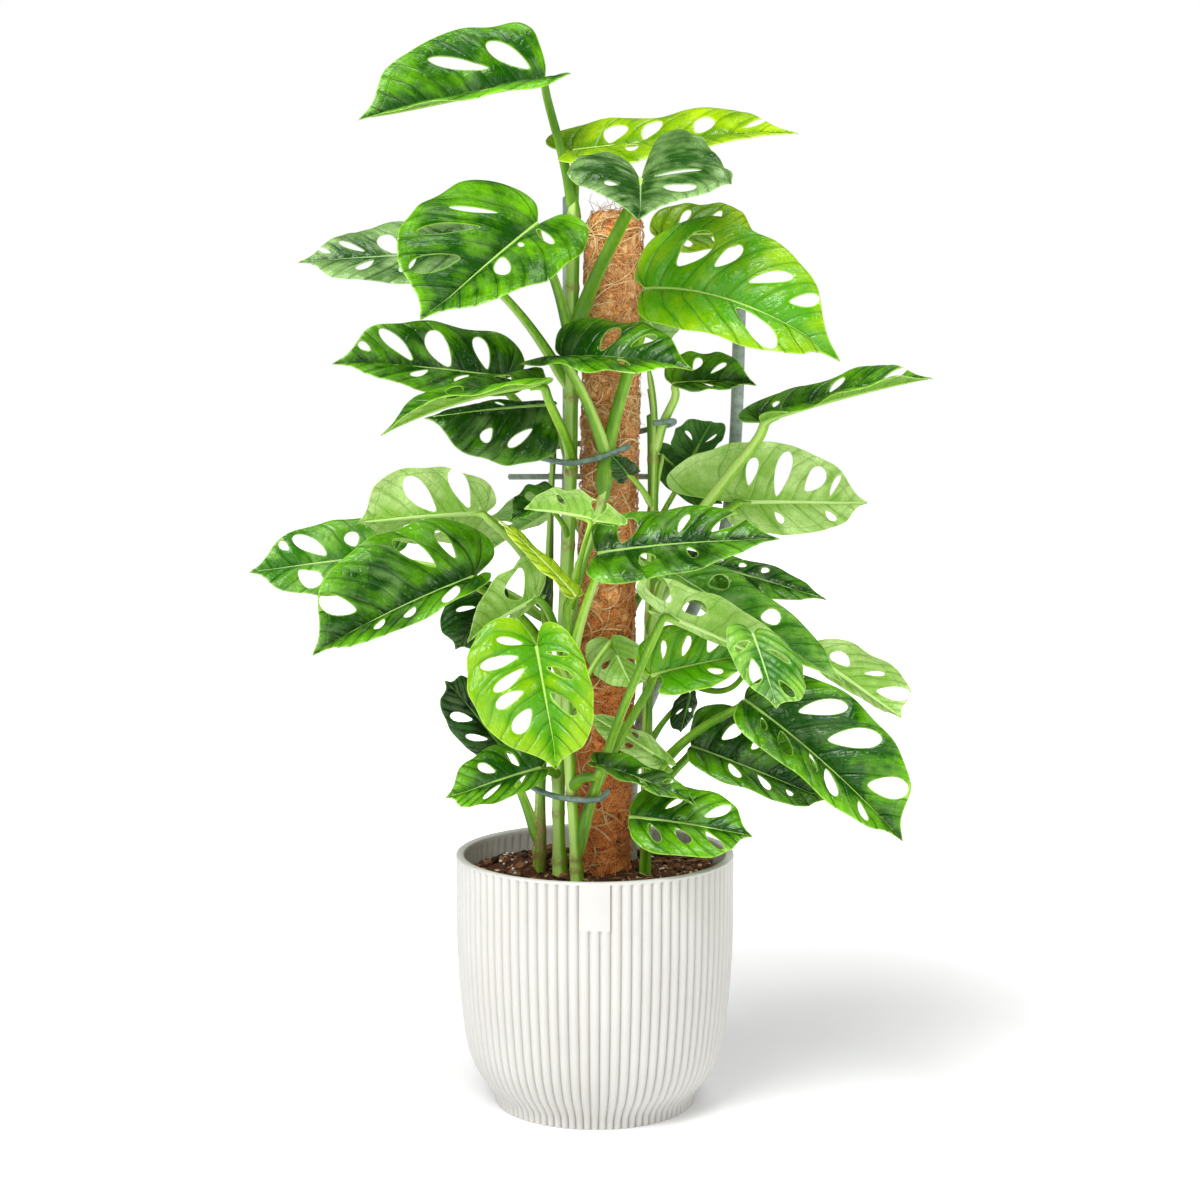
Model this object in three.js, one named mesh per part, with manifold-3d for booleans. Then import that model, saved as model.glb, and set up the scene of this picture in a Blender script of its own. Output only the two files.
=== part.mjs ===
// Monstera adansonii on a coir pole, in a ribbed plastic pot.
// Millimetres, +Z up. The origin is the centre of the pot's underside, where the plant stands.
import * as THREE from 'three';
import { mergeVertices } from 'three/addons/utils/BufferGeometryUtils.js';
import Module from 'manifold-3d';

const wasm = await Module();
wasm.setup();

const GAP = 0.3; // clearance between touching pieces

// Pot
const POT_HEIGHT = 168;
const POT_RADIUS = 92;
const POT_WALL = 5.4;
const POT_FLOOR = 5;
const POT_INNER_FOOT = 61;
const POT_BORE_SIDES = 42;
const RIB_COUNT = 84;
const RIB_DEPTH = 1.1;
const RIM_BAND = 5; // smooth lip above the ribs
const RIM_BEVEL = 0.8;
const PAD_RIBS = 3; // half width of the blank pad under the rim, in half ribs
const PAD_HEIGHT = 26;
// Outside of the pot without its ribs: [radius, height], foot to rim.
const POT_PROFILE = [[66.8, 0], [68, 9], [77, 18], [85.5, 40], [91, 96], [92, 163]];

// Soil
const SOIL_LEVEL = 152;
const SOIL_MOUND = 5;
const SOIL_RINGS = [1, 0.7, 0.4]; // rings of the top face, in shares of its radius
const SOIL_WALL_TOP = 137;
const SOIL_SIDES = 30;

// Coir pole and the stake inside it
const POLE_RADIUS = 19;
const POLE_FOOT = [3, 0, 62];
const POLE_TOP = [12.5, 0, 587];
const POLE_SIDES = 20;
const STAKE_RADIUS = 8;
const STAKE_FOOT_Z = 30;
const STAKE_TOP_Z = 560;

// Coated wire frame behind the pole: two uprights in the soil and a thinner rung.
const UPRIGHT_RADIUS = 4.2;
const RUNG_RADIUS = 1.9;
const ROD_SIDES = 6;
const UPRIGHT_LINES = [
  [[-25, 30, 118], [-24, 29, 220], [-18, 29, 400], [-17, 29, 598]],
  [[24, 34, 118], [29, 34, 240], [56, 31, 305], [84, 25, 370], [92, 21, 430], [95, 20, 530]],
];
const RUNG_LINE = [[-57, 26, 415], [20, 29, 415], [91.5, 21.5, 415]];

// Wire ties: hooked round the stems in front and round the back of the pole.
const TIE_RADIUS = 1.9;
const TIE_SIDES = 5;
const TIE_STEPS = 22;
const TIE_LINES = {
  tie_upper: [[22, -38, 438], [4, -38, 431], [-16, -31, 427], [-34, -26, 430], [-42, -8, 432],
    [-36, 8, 434], [-20, 20, 436], [10, 21.3, 440], [32, 16, 446], [48, 5, 450],
    [50.5, -12, 453], [38, -20, 452]],
  tie_lower: [[9, -36, 216], [4, -38, 211], [-12, -37, 210], [-29, -31, 212], [-42, -16, 215],
    [-43, 0, 217], [-35, 13, 218], [-17, 20.5, 218], [5.8, 21.3, 217], [17, 18.7, 216.5],
    [24.6, 11, 216]],
};

// Vines: centre line from inside the soil upwards, and radius.
const VINE_SIDES = 6;
const VINE_STEPS = 7;
const VINES = {
  vine_main: { radius: 4.4, line: [[-21, -15, 118], [-24, -16, 200], [-21, -17, 300],
    [-16, -16, 400], [-15, -15, 480], [-14, -12, 560], [-13, -10, 596]] },
  vine_left: { radius: 3.3, line: [[-37, -4, 118], [-36, -2, 210], [-32, 2, 300],
    [-29, 3, 390], [-27, 4, 455]] },
  vine_front: { radius: 3.8, line: [[-9, -29, 118], [-13, -30, 180], [-17, -31, 250],
    [-17, -33, 300], [-12, -33, 350], [3, -33, 395], [12, -31, 433]] },
  vine_right: { radius: 3.4, line: [[32, -12, 118], [34, -11, 220], [36, -9, 330],
    [38, -7, 420], [37, -5, 462], [33, -6, 488]] },
  vine_back: { radius: 3.3, line: [[8, 37, 118], [12, 40, 240], [14, 41, 400], [15, 36, 520]] },
};

// Leaf stalks
const STALK_SIDES = 5;
const STALK_STEPS = 4;
const STALK_KNEE = 14; // the last stretch runs straight at the blade
const STALK_SEAT = 0.8; // from the stalk's end to the underside of the blade
const STALK_RISE = 0.2; // how far a stalk bows upwards, in shares of its reach
const LONG_LEAF = 60; // leaves longer than this have thick stalks and more holes

// Leaf blades
const BLADE_THICKNESS = 0.9;
const EDGE_POINTS = 9;
const RIB_POINTS = 2;
const HOLE_SIDES = 6;
const WAVES = 2.5; // waves of the blade's edge between base and tip
// One half of a blade: [share of the midrib's length, share of the half's width]. Negative lengths
// are the lobe beside the leaf stalk, in shares of the leaf's own lobe length.
const HALF_OUTLINE = [
  [0, 0], [-0.85, 0.15], [-1, 0.42], [-0.55, 0.72], [0.08, 0.93],
  [0.32, 1], [0.54, 0.93], [0.74, 0.72], [0.9, 0.36], [1, 0],
];
// Where a tapered half keeps its width; it is wider towards the base and narrower towards the tip.
const TAPER_MIDDLE = 0.35;
const PLAIN_LEAF = {
  arch: 2, bulge: 0.08, wave: 1.5, lobes: [0.12, 0.12], taper: [0, 0], tone: 'deep',
};
const TONES = {
  fresh: 0x5fa51f,
  lime: 0x8cc22c,
  deep: 0x2f7d28,
  dark: 0x1f5a22,
  pale: 0x8fba63,
};

// Leaves: name, end of the stalk, tip, offsets from the midrib to the left and right edge where the
// leaf is widest, then the vine and height that its stalk leaves from, and what isn't plain.
const LEAVES = [
  ['top_left', [-32, -5, 670], [-147, -45, 641], [0, -36, -6], [-14, 15, 41],
    { stem: ['vine_main', 585], via: [-18, -9, 622], arch: 0,
      lobes: [0.14, 0.03], taper: [0.2, 0.2] }],
  ['top_right', [-14, 0, 626], [128, -30, 634], [-1, 34, 21], [-10, -34, -13],
    { stem: ['vine_main', 540], lobes: [0.12, 0.02], tone: 'lime' }],
  ['crown', [28, -85, 602], [27, -135, 575], [55, -7, 8], [-44, -3, 12],
    { stem: ['vine_main', 500], girth: 4, via: [-4, -22, 548], arch: 0, bulge: 0.1,
      lobes: [0.95, 0.3], tone: 'dark' }],
  ['upper_left', [-36, -35, 578], [-102, -115, 516], [34, -29, -13], [-49, 0, 30],
    { stem: ['vine_main', 500], lobes: [0.14, 0.12], taper: [0.3, 0], tone: 'fresh' }],
  ['far_upper_left', [-81, 5, 560], [-190, -15, 554], [-1, -28, -18], [-5, 22, 22],
    { stem: ['vine_main', 470], taper: [0, 0.3] }],
  ['upper_right', [32, -40, 537], [150, -100, 494], [19, 22, 45], [-4, -25, -24],
    { stem: ['vine_front', 404], girth: 3.8, via: [4, -30, 455], arch: 20,
      lobes: [0.1, 0.02], tone: 'fresh' }],
  ['behind_right', [43, 25, 572], [109, 50, 575], [3, 20, 23], [5, -12, -10],
    { stem: ['vine_back', 500], tone: 'lime' }],
  ['over_pole', [-20, -45, 494], [60, -98, 486], [5, 22, 25], [-2, -34, -7],
    { stem: ['vine_front', 424], girth: 3.2, arch: 4, lobes: [0.08, 0.34] }],
  ['mid_left', [-58, -5, 481], [-165, -45, 492], [-1, -34, -13], [-3, 12, 31],
    { stem: ['vine_left', 430] }],
  ['mid_left_edge', [-31, -60, 478], [-130, -105, 448], [1, -36, 3], [-5, 28, 11],
    { stem: ['vine_main', 422], girth: 3.4, via: [-12, -38, 440], arch: 5,
      lobes: [0.05, 0.02], tone: 'fresh' }],
  ['mid_left_under', [-27, -28, 464], [-107, -52, 456], [6, -15, -35], [-4, 14, 4],
    { stem: ['vine_main', 425], lobes: [0, 0.05], tone: 'dark' }],
  ['small_right', [50, -10, 477], [102, -40, 478], [1, 12, 20], [4, -17, -4],
    { stem: ['vine_right', 430], lobes: [0.1, 0.02] }],
  ['far_right_fold', [107, -30, 454], [212, -50, 482], [2, 30, 15], [-1, -25, 4],
    { stem: ['vine_right', 330], girth: 3.6, via: [60, 2, 400], lobes: [0.14, 0.02] }],
  ['right_pale', [92, 0, 400], [177, -12, 400], [5, 8, -22], [-4, -8, 39],
    { stem: ['vine_right', 345], taper: [0, 0.3], lobes: [0.1, 0.5], tone: 'pale' }],
  ['small_dark', [64, 13, 429], [77, 7, 453], [16, 4, 4], [-16, 0, 8],
    { stem: ['vine_right', 380], via: [48, 12, 400], tone: 'dark' }],
  ['right_back_dark', [43, 15, 430], [84, 16, 397], [-5, 0, -14], [7, 1, 8],
    { stem: ['vine_right', 395], tone: 'dark' }],
  ['left_pale', [-72, -15, 394], [-150, -50, 390], [-6, -6, 31], [-1, 20, -20],
    { stem: ['vine_left', 340], taper: [-0.3, 0], tone: 'pale' }],
  ['far_left', [-134, 10, 364], [-223, -25, 356], [-1, -18, -20], [-2, 15, 27],
    { stem: ['vine_left', 320] }],
  ['left_big', [-76, -60, 357], [-172, -115, 315], [4, -30, -8], [-27, 8, 39],
    { stem: ['vine_left', 300], arch: 5, lobes: [0.1, 0.2] }],
  ['left_dark', [-62, -10, 343], [-88, -40, 308], [6, -6, -12], [-25, 2, 3],
    { stem: ['vine_left', 290], tone: 'dark' }],
  ['left_pale_fold', [-37, -45, 342], [-80, -85, 319], [3, -8, 32], [1, 15, -6],
    { stem: ['vine_main', 300], tone: 'pale' }],
  ['left_dark_back', [-33, -26, 336], [-40, -16, 368], [-9, 0, 4], [6, 3, 9],
    { stem: ['vine_left', 300], tone: 'dark' }],
  ['heart', [-36, -85, 316], [-22, -110, 243], [30, -14, 1], [-46, -8, 0],
    { stem: ['vine_front', 280], lobes: [0.2, 0.24], tone: 'fresh' }],
  ['yellow_edge', [-12, -55, 344], [-61, -62, 394], [-6, -5, 0], [5, 6, 2],
    { stem: ['vine_front', 290], lobes: [0.02, 0.02], tone: 'lime' }],
  ['centre_pale', [-2, -82, 395], [-44, -94, 402], [2, -4, 15], [-1, 12, 0],
    { stem: ['vine_front', 330], lobes: [0.5, 0.3], tone: 'pale' }],
  ['centre_dark', [-25, -40, 404], [-53, -72, 393], [4, -12, -1], [-7, 9, 12],
    { stem: ['vine_main', 375], tone: 'dark' }],
  ['centre_right', [2, -75, 373], [113, -105, 384], [-3, 22, 22], [-7, -28, -17],
    { stem: ['vine_front', 285], arch: 3, lobes: [0.02, 0.02], tone: 'fresh' }],
  ['right_back', [63, 10, 360], [151, -15, 337], [4, 15, 9], [-3, -12, -10],
    { stem: ['vine_right', 325] }],
  ['right_long', [47, -30, 358], [158, -58, 287], [14, 18, 13], [-7, -18, -3],
    { stem: ['vine_right', 310] }],
  ['right_pale_fold', [44, -74, 335], [130, -92, 297], [-3, 8, -3], [0, -6, 26],
    { stem: ['vine_front', 165], via: [0, -18, 235], lobes: [0.1, 0.2], tone: 'pale' }],
  ['right_low_mid', [36, -50, 293], [103, -62, 309], [-4, 6, 27], [2, -22, -12],
    { stem: ['vine_front', 172], via: [2, -26, 240], lobes: [0.12, -0.1], tone: 'fresh' }],
  ['right_bright', [97, -100, 326], [110, -130, 284], [26, -4, -8], [-19, 0, 2],
    { stem: ['vine_right', 300], via: [100, -45, 250], tone: 'fresh' }],
  ['far_right_pale', [143, 5, 299], [201, -10, 259], [0, 6, -8], [27, -7, 11],
    { stem: ['vine_right', 280], tone: 'pale' }],
  ['right_large', [95, -55, 278], [192, -95, 195], [38, 5, 22], [-9, -28, -13],
    { stem: ['vine_right', 215], arch: 8, lobes: [0.05, 0.02] }],
  ['right_large_back', [63, -20, 242], [153, -55, 211], [8, 15, 30], [0, -22, -12],
    { stem: ['vine_right', 195], lobes: [0.03, 0.03] }],
  ['low_right', [22, -62, 204], [98, -98, 199], [11, 22, 19], [4, -22, -17],
    { stem: ['vine_right', 175], lobes: [0.02, 0.02], tone: 'fresh' }],
  ['low_right_fold', [3, -62, 237], [65, -95, 218], [6, 16, 7], [-1, -14, -1],
    { stem: ['vine_front', 215] }],
  ['low_pale', [47, -30, 233], [-4, -26, 264], [-2, -4, 11], [-10, 4, -7],
    { stem: ['vine_right', 200], tone: 'pale' }],
  ['centre_low_pale', [10, -26, 312], [25, -34, 281], [-19, 0, -5], [18, 0, 0],
    { stem: ['vine_front', 262], tone: 'pale' }],
  ['small_low_dark', [63, 5, 273], [56, -5, 248], [6, 4, -2], [-11, 0, -4],
    { stem: ['vine_right', 240], tone: 'dark' }],
  ['low_left_dark', [-59, 0, 235], [-97, -15, 285], [-20, -6, -5], [1, 5, 20],
    { stem: ['vine_left', 170], tone: 'dark' }],
  ['low_left', [-35, -38, 231], [-94, -72, 217], [-5, -16, -12], [-8, 15, 19],
    { stem: ['vine_main', 222] }],
  ['small_front', [21, -42, 420], [10, -46, 433], [-5, -3, -7], [9, 2, 2],
    { stem: ['vine_right', 395], tone: 'dark' }],
  ['back_upper', [22, 60, 535], [52, 150, 500], [-32, 0, 4], [28, 8, 12],
    { stem: ['vine_back', 490] }],
  ['back_left', [-20, 70, 395], [-85, 135, 350], [-26, -22, 10], [22, 24, 8],
    { stem: ['vine_back', 330] }],
  ['back_right', [40, 68, 350], [95, 135, 300], [-24, 20, 10], [26, -20, 8],
    { stem: ['vine_back', 290], tone: 'fresh' }],
  ['back_low', [0, 66, 262], [-22, 140, 225], [-30, -6, 6], [30, 10, 6],
    { stem: ['vine_back', 210] }],
];

// Holes of the leaves seen best, left half then right half: share along the midrib, share across
// the half, half length and half width in millimetres, and the lean from the midrib in degrees
// where it isn't that of the side veins.
const HOLES = {
  top_left: [[[0.3, 0.45, 9, 3], [0.55, 0.4, 9, 3]],
    [[0.15, 0.43, 14, 5, 46], [0.42, 0.45, 17, 3, 22]]],
  top_right: [[[0.2, 0.31, 9, 6, 60], [0.36, 0.33, 10, 4, 60], [0.59, 0.31, 8, 5, 60],
    [0.82, 0.28, 7, 2, 30]],
    [[0.3, 0.45, 8, 3], [0.55, 0.42, 7, 3]]],
  crown: [[[0.55, 0.42, 10, 4], [0.15, 0.4, 13, 2, 75]], [[0.5, 0.4, 4, 2]]],
  upper_left: [[[0.45, 0.27, 11, 4.3, 45], [0.24, 0.17, 4.5, 1.5, 55], [0.11, 0.35, 12, 2.6, 61]],
    [[0.2, 0.54, 13, 2.2, 51], [0.42, 0.54, 17, 3.2, 38], [0.67, 0.35, 15, 5, 24]]],
  far_upper_left: [[[0.35, 0.42, 8, 3], [0.6, 0.36, 7, 3]],
    [[0.46, 0.32, 8, 5], [0.68, 0.3, 8, 2, 30], [0.84, 0.22, 4, 1.5, 30]]],
  upper_right: [[[0.2, 0.5, 13, 8, 56], [0.38, 0.5, 10, 4, 56], [0.61, 0.4, 13, 3, 31],
    [0.78, 0.35, 9, 3, 39]],
    [[0.6, 0.42, 15, 7, 34]]],
  over_pole: [[[0.35, 0.43, 10, 4], [0.62, 0.4, 9, 2.5, 30]], [[0.5, 0.45, 7, 2.5]]],
  mid_left: [[[0.25, 0.4, 8, 3], [0.5, 0.36, 8, 3]],
    [[0.13, 0.43, 10, 4, 75], [0.38, 0.4, 11, 6, 62], [0.64, 0.37, 12, 4, 40], [0.82, 0.28, 4, 2, 30]]],
  mid_left_under: [[[0.3, 0.58, 9, 2.5, 30], [0.55, 0.5, 5, 3]], [[0.4, 0.45, 4, 1.5]]],
  small_right: [[[0.3, 0.55, 5, 2.5], [0.57, 0.36, 6, 1.5, 30]], [[0.4, 0.45, 5, 2]]],
  far_right_fold: [[[0.08, 0.4, 3, 2], [0.45, 0.45, 8, 2.5], [0.79, 0.28, 8, 3, 30]],
    [[0.3, 0.45, 6, 2], [0.6, 0.4, 6, 2]]],
  right_pale: [[[0.3, 0.5, 4, 2], [0.7, 0.42, 4, 2]],
    [[0.14, 0.5, 9, 3], [0.37, 0.46, 14, 4, 71], [0.6, 0.37, 9, 4.5, 54], [0.76, 0.26, 7, 1.5, 60]]],
  left_pale: [[[0.13, 0.52, 12, 5, 80], [0.45, 0.44, 12, 6, 59]],
    [[0.35, 0.45, 6, 3], [0.6, 0.4, 5, 2.5]]],
  far_left: [[[0.25, 0.45, 6, 2.5], [0.57, 0.44, 9, 5, 140]],
    [[0.28, 0.44, 5, 4], [0.58, 0.4, 12, 4, 35], [0.76, 0.45, 4, 2]]],
  left_big: [[[0.16, 0.56, 10, 5, 69], [0.41, 0.52, 5, 3.5], [0.6, 0.36, 5, 2.5]],
    [[0.05, 0.5, 9, 3, 88], [0.23, 0.55, 13, 5, 63], [0.75, 0.36, 10, 5, 46]]],
  left_pale_fold: [[[0.26, 0.44, 10, 7]], [[0.4, 0.5, 4, 2]]],
  heart: [[[0.06, 0.42, 7, 1.2, 86], [0.22, 0.4, 8, 2.2, 69], [0.47, 0.35, 9, 3.3, 49]],
    [[-0.04, 0.34, 7, 2.1, 100], [0.13, 0.53, 11, 3, 75], [0.28, 0.44, 11, 2.6, 55],
      [0.44, 0.47, 9, 2.8, 61], [0.61, 0.35, 8.5, 3.7, 40]]],
  yellow_edge: [[], []],
  centre_pale: [[[-0.08, 0.55, 5, 4, 90], [0.45, 0.45, 4, 1.5, 40]], []],
  centre_dark: [[[0.4, 0.45, 3, 1.5]], [[0.43, 0.42, 5, 2.5, 40]]],
  centre_right: [[[0.18, 0.44, 9, 5, 64], [0.5, 0.45, 7, 2], [0.74, 0.38, 11, 3, 25]],
    [[0.3, 0.47, 6, 4, 66], [0.55, 0.4, 6, 2]]],
  right_back: [[[0.2, 0.45, 3, 2], [0.36, 0.48, 3, 2], [0.53, 0.44, 3, 2]], [[0.4, 0.45, 4, 1.5]]],
  right_pale_fold: [[], [[-0.05, 0.48, 8, 6, 150], [0.2, 0.42, 8, 4, 30]]],
  right_low_mid: [[[0.15, 0.46, 5, 1.5, 79], [0.36, 0.44, 6, 2], [0.62, 0.42, 7, 3.5, 56]],
    [[0.59, 0.42, 5, 2, 34]]],
  right_bright: [[[0.25, 0.45, 6, 2], [0.7, 0.38, 5, 3, 40]],
    [[0.21, 0.5, 6, 2, 50], [0.55, 0.4, 8, 3, 10]]],
  far_right_pale: [[], [[0.17, 0.34, 7, 4, 160], [0.45, 0.5, 5, 2], [0.72, 0.38, 8, 5.5, 46]]],
  right_large: [[[0.26, 0.58, 12, 5, 60], [0.47, 0.54, 13, 6, 55], [0.75, 0.36, 10, 6, 45]],
    [[0.13, 0.34, 5, 2, 70], [0.27, 0.42, 9, 4, 60], [0.43, 0.34, 7, 2, 62],
      [0.55, 0.4, 9, 4, 57], [0.75, 0.34, 6, 3, 48]]],
  right_large_back: [[[0.25, 0.5, 8, 3, 50], [0.42, 0.44, 4, 2]],
    [[0.3, 0.42, 6, 3, 60], [0.5, 0.42, 6, 3, 60], [0.68, 0.38, 2.5, 2]]],
  low_right: [[[0.32, 0.44, 6, 2, 50], [0.68, 0.4, 8, 3, 40]],
    [[0.18, 0.42, 7, 3, 78], [0.42, 0.44, 6, 4, 61], [0.68, 0.4, 7, 3, 53]]],
  low_right_fold: [[[0.4, 0.45, 5, 2, 60], [0.65, 0.4, 4, 1.5]], [[0.44, 0.5, 4, 2]]],
  low_left_dark: [[[0.26, 0.48, 6, 2.5, 59], [0.54, 0.46, 6, 3.5, 55]], [[0.4, 0.45, 5, 2]]],
  low_left: [[[0.18, 0.44, 5, 2], [0.48, 0.46, 6, 2.5, 46]],
    [[0.25, 0.44, 6, 2], [0.53, 0.42, 6, 2.5, 45]]],
  small_front: [[], []],
};

const FINISHES = {
  pot: finish(0xf2f0ec, 0.5),
  soil: finish(0x3a2618, 1),
  pole_stake: finish(0x9b7a52, 0.8),
  coir_pole: finish(0xb9713a, 0.95),
  support_frame: finish(0x66756c, 0.45),
  tie_upper: finish(0x5d7468, 0.45),
  tie_lower: finish(0x5d7468, 0.45),
  vine: finish(0x86b440, 0.5),
};

function finish(color, roughness) {
  return new THREE.MeshStandardMaterial({ color, roughness, metalness: 0 });
}

function vec([x, y, z]) {
  return new THREE.Vector3(x, y, z);
}

function solidOf(geometry) {
  const bare = geometry.clone();
  bare.deleteAttribute('normal');
  bare.deleteAttribute('uv');
  const merged = mergeVertices(bare, 1e-4);
  return new wasm.Manifold(new wasm.Mesh({
    numProp: 3,
    vertProperties: new Float32Array(merged.attributes.position.array),
    triVerts: new Uint32Array(merged.index.array),
  }));
}

function geometryOf(solid) {
  const mesh = solid.getMesh();
  const geometry = new THREE.BufferGeometry();
  geometry.setAttribute('position', new THREE.BufferAttribute(mesh.vertProperties, 3));
  geometry.setIndex(new THREE.BufferAttribute(mesh.triVerts, 1));
  geometry.computeVertexNormals();
  return geometry;
}

function solidFrom(points, triangles) {
  const geometry = new THREE.BufferGeometry();
  const numbers = points.flatMap((p) => [p.x, p.y, p.z]);
  geometry.setAttribute('position', new THREE.Float32BufferAttribute(numbers, 3));
  geometry.setIndex(triangles.flat());
  return solidOf(geometry);
}

function circle(radius, sides) {
  const points = [];
  for (let i = 0; i < sides; i += 1) {
    const turn = (2 * Math.PI * i) / sides;
    points.push(new THREE.Vector2(radius * Math.cos(turn), radius * Math.sin(turn)));
  }
  return points;
}

// A round bar of even thickness along a line.
function bar(curve, radius, sides, steps) {
  const section = new THREE.Shape(circle(radius, sides));
  const options = { steps, bevelEnabled: false, extrudePath: curve };
  return solidOf(new THREE.ExtrudeGeometry(section, options));
}

function smoothLine(points) {
  return new THREE.CatmullRomCurve3(points.map(vec), false, 'centripetal');
}

// A closed body from rings of points, bottom to top, with flat or pointed ends.
function lofted(rings) {
  const around = rings[0].length;
  const points = rings.flat();
  const triangles = [];
  for (let level = 0; level + 1 < rings.length; level += 1) {
    for (let i = 0; i < around; i += 1) {
      const j = (i + 1) % around;
      const [a, b] = [level * around + i, level * around + j];
      triangles.push([a, b, b + around], [a, b + around, a + around]);
    }
  }
  const top = (rings.length - 1) * around;
  for (let i = 1; i + 1 < around; i += 1) {
    triangles.push([0, i + 1, i], [top, top + i, top + i + 1]);
  }
  return solidFrom(points, triangles);
}

// Pot: ribbed outside, plain inside, with a blank pad under the rim at the front.
function potRadius(height) {
  const upper = Math.max(1, POT_PROFILE.findIndex(([, z]) => z >= height));
  const [r0, z0] = POT_PROFILE[upper - 1];
  const [r1, z1] = POT_PROFILE[upper];
  return r0 + ((r1 - r0) * (height - z0)) / (z1 - z0);
}

function potRing(height, radiusAt) {
  const ring = [];
  for (let i = 0; i < 2 * RIB_COUNT; i += 1) {
    const turn = -Math.PI / 2 + (Math.PI * i) / RIB_COUNT;
    const radius = radiusAt(i);
    ring.push(new THREE.Vector3(radius * Math.cos(turn), radius * Math.sin(turn), height));
  }
  return ring;
}

function potSolid() {
  const ribTop = POT_HEIGHT - RIM_BAND;
  const rings = POT_PROFILE.map(([radius, z]) => potRing(z, (i) => {
    const fromFront = Math.min(i, 2 * RIB_COUNT - i);
    const onPad = z >= ribTop - PAD_HEIGHT && fromFront <= PAD_RIBS;
    return radius - (i % 2 === 1 && !onPad ? RIB_DEPTH : 0);
  }));
  rings.push(potRing(ribTop + 1, () => POT_RADIUS));
  rings.push(potRing(POT_HEIGHT, () => POT_RADIUS - RIM_BEVEL));
  const bore = [...innerProfile(0), [POT_RADIUS - POT_WALL, POT_HEIGHT + 1]];
  return lofted(rings).subtract(turned(bore, POT_BORE_SIDES));
}

// Inside of the pot, shrunk by a clearance: [radius, height] from the floor up to the soil's edge.
function innerProfile(clearance) {
  const wall = POT_WALL + clearance;
  return [
    [POT_INNER_FOOT - clearance, POT_FLOOR + clearance],
    [potRadius(30) - wall - 1.5, 30],
    [potRadius(80) - wall - 0.5, 80],
    [POT_RADIUS - wall, SOIL_WALL_TOP],
  ];
}

// A level ring of points round the Z axis; heightAt gives each point's height.
function levelRing(radius, sides, heightAt) {
  return circle(radius, sides).map(({ x, y }) => new THREE.Vector3(x, y, heightAt(x, y)));
}

function turned(profile, sides) {
  return lofted(profile.map(([radius, z]) => levelRing(radius, sides, () => z)));
}

// Soil: fills the pot, with a lumpy top that rises towards the stems.
function soilHeight(x, y) {
  const reach = Math.hypot(x, y) / POT_RADIUS;
  const lumps = 1.3 * Math.sin(x * 0.13 + 1) * Math.cos(y * 0.15) + 0.9 * Math.sin(x * 0.31 - y * 0.27);
  const shoulder = 3 * Math.exp(-((x + 45) ** 2 + (y - 25) ** 2) / 900);
  return SOIL_LEVEL + SOIL_MOUND * (1 - reach) ** 1.2 + lumps * (1 - 0.6 * reach) + shoulder;
}

function soilSolid() {
  const wall = innerProfile(GAP);
  const reach = wall[wall.length - 1][0];
  const rings = wall.map(([radius, z]) => levelRing(radius, SOIL_SIDES, () => z));
  for (const share of SOIL_RINGS) rings.push(levelRing(reach * share, SOIL_SIDES, soilHeight));
  return lofted(rings);
}

// Pole: coir round a stake, leaning a little to the right.
function poleCentre(height) {
  const share = (height - POLE_FOOT[2]) / (POLE_TOP[2] - POLE_FOOT[2]);
  return vec(POLE_FOOT).lerp(vec(POLE_TOP), share);
}

function poleBar(radius, from, to) {
  return bar(new THREE.LineCurve3(poleCentre(from), poleCentre(to)), radius, POLE_SIDES, 1);
}

function frameSolid(clearance) {
  const rod = (line, radius) => (
    bar(smoothLine(line), radius + clearance, ROD_SIDES, 2 * line.length - 3));
  const rung = rod(RUNG_LINE, RUNG_RADIUS);
  return UPRIGHT_LINES.reduce((whole, line) => whole.add(rod(line, UPRIGHT_RADIUS)), rung);
}

function readLeaf([name, base, tip, left, right, more], number) {
  const leaf = { name, number, base: vec(base), left: vec(left), right: vec(right) };
  Object.assign(leaf, PLAIN_LEAF, more);
  leaf.axis = vec(tip).sub(leaf.base);
  leaf.length = leaf.axis.length();
  leaf.normal = leaf.right.clone().sub(leaf.left).cross(leaf.axis).normalize();
  return leaf;
}

function halfOf(leaf, side) {
  return side < 0 ? leaf.left : leaf.right;
}

// A point of the blade's middle surface. side is -1 left, 1 right; s runs along the midrib and w
// across the half.
function bladePoint(leaf, side, s, w) {
  const half = halfOf(leaf, side);
  const rise = leaf.arch * 4 * s * (1 - s)
    + leaf.bulge * half.length() * 4 * w * (1 - w)
    + leaf.wave * Math.sin(Math.PI * (2 * WAVES * s + side / 2)) * w * w;
  return leaf.base.clone()
    .addScaledVector(leaf.axis, s)
    .addScaledVector(half, w)
    .addScaledVector(leaf.normal, rise);
}

function halfNormal(leaf, side, s, w) {
  const step = 0.01;
  const along = bladePoint(leaf, side, s + step, w).sub(bladePoint(leaf, side, s - step, w));
  const inner = bladePoint(leaf, side, s, Math.max(w - step, 0));
  const across = bladePoint(leaf, side, s, w + step).sub(inner);
  return across.multiplyScalar(side).cross(along).normalize();
}

function bladeNormal(leaf, side, s, w) {
  if (w > 0) return halfNormal(leaf, side, s, w);
  return halfNormal(leaf, -1, s, 0).add(halfNormal(leaf, 1, s, 0)).normalize();
}

// Holes of one half. Leaves without holes of their own get one or two a half.
function halfHoles(leaf, side) {
  if (leaf.name in HOLES) return HOLES[leaf.name][side < 0 ? 0 : 1];
  const width = halfOf(leaf, side).length();
  if (leaf.length < LONG_LEAF) return [[0.4, 0.45, 0.2 * width, 0.04 * leaf.length]];
  const wide = 0.035 * leaf.length;
  return [[0.22, 0.46, 0.24 * width, wide], [0.52, 0.42, 0.22 * width, wide]];
}

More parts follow.
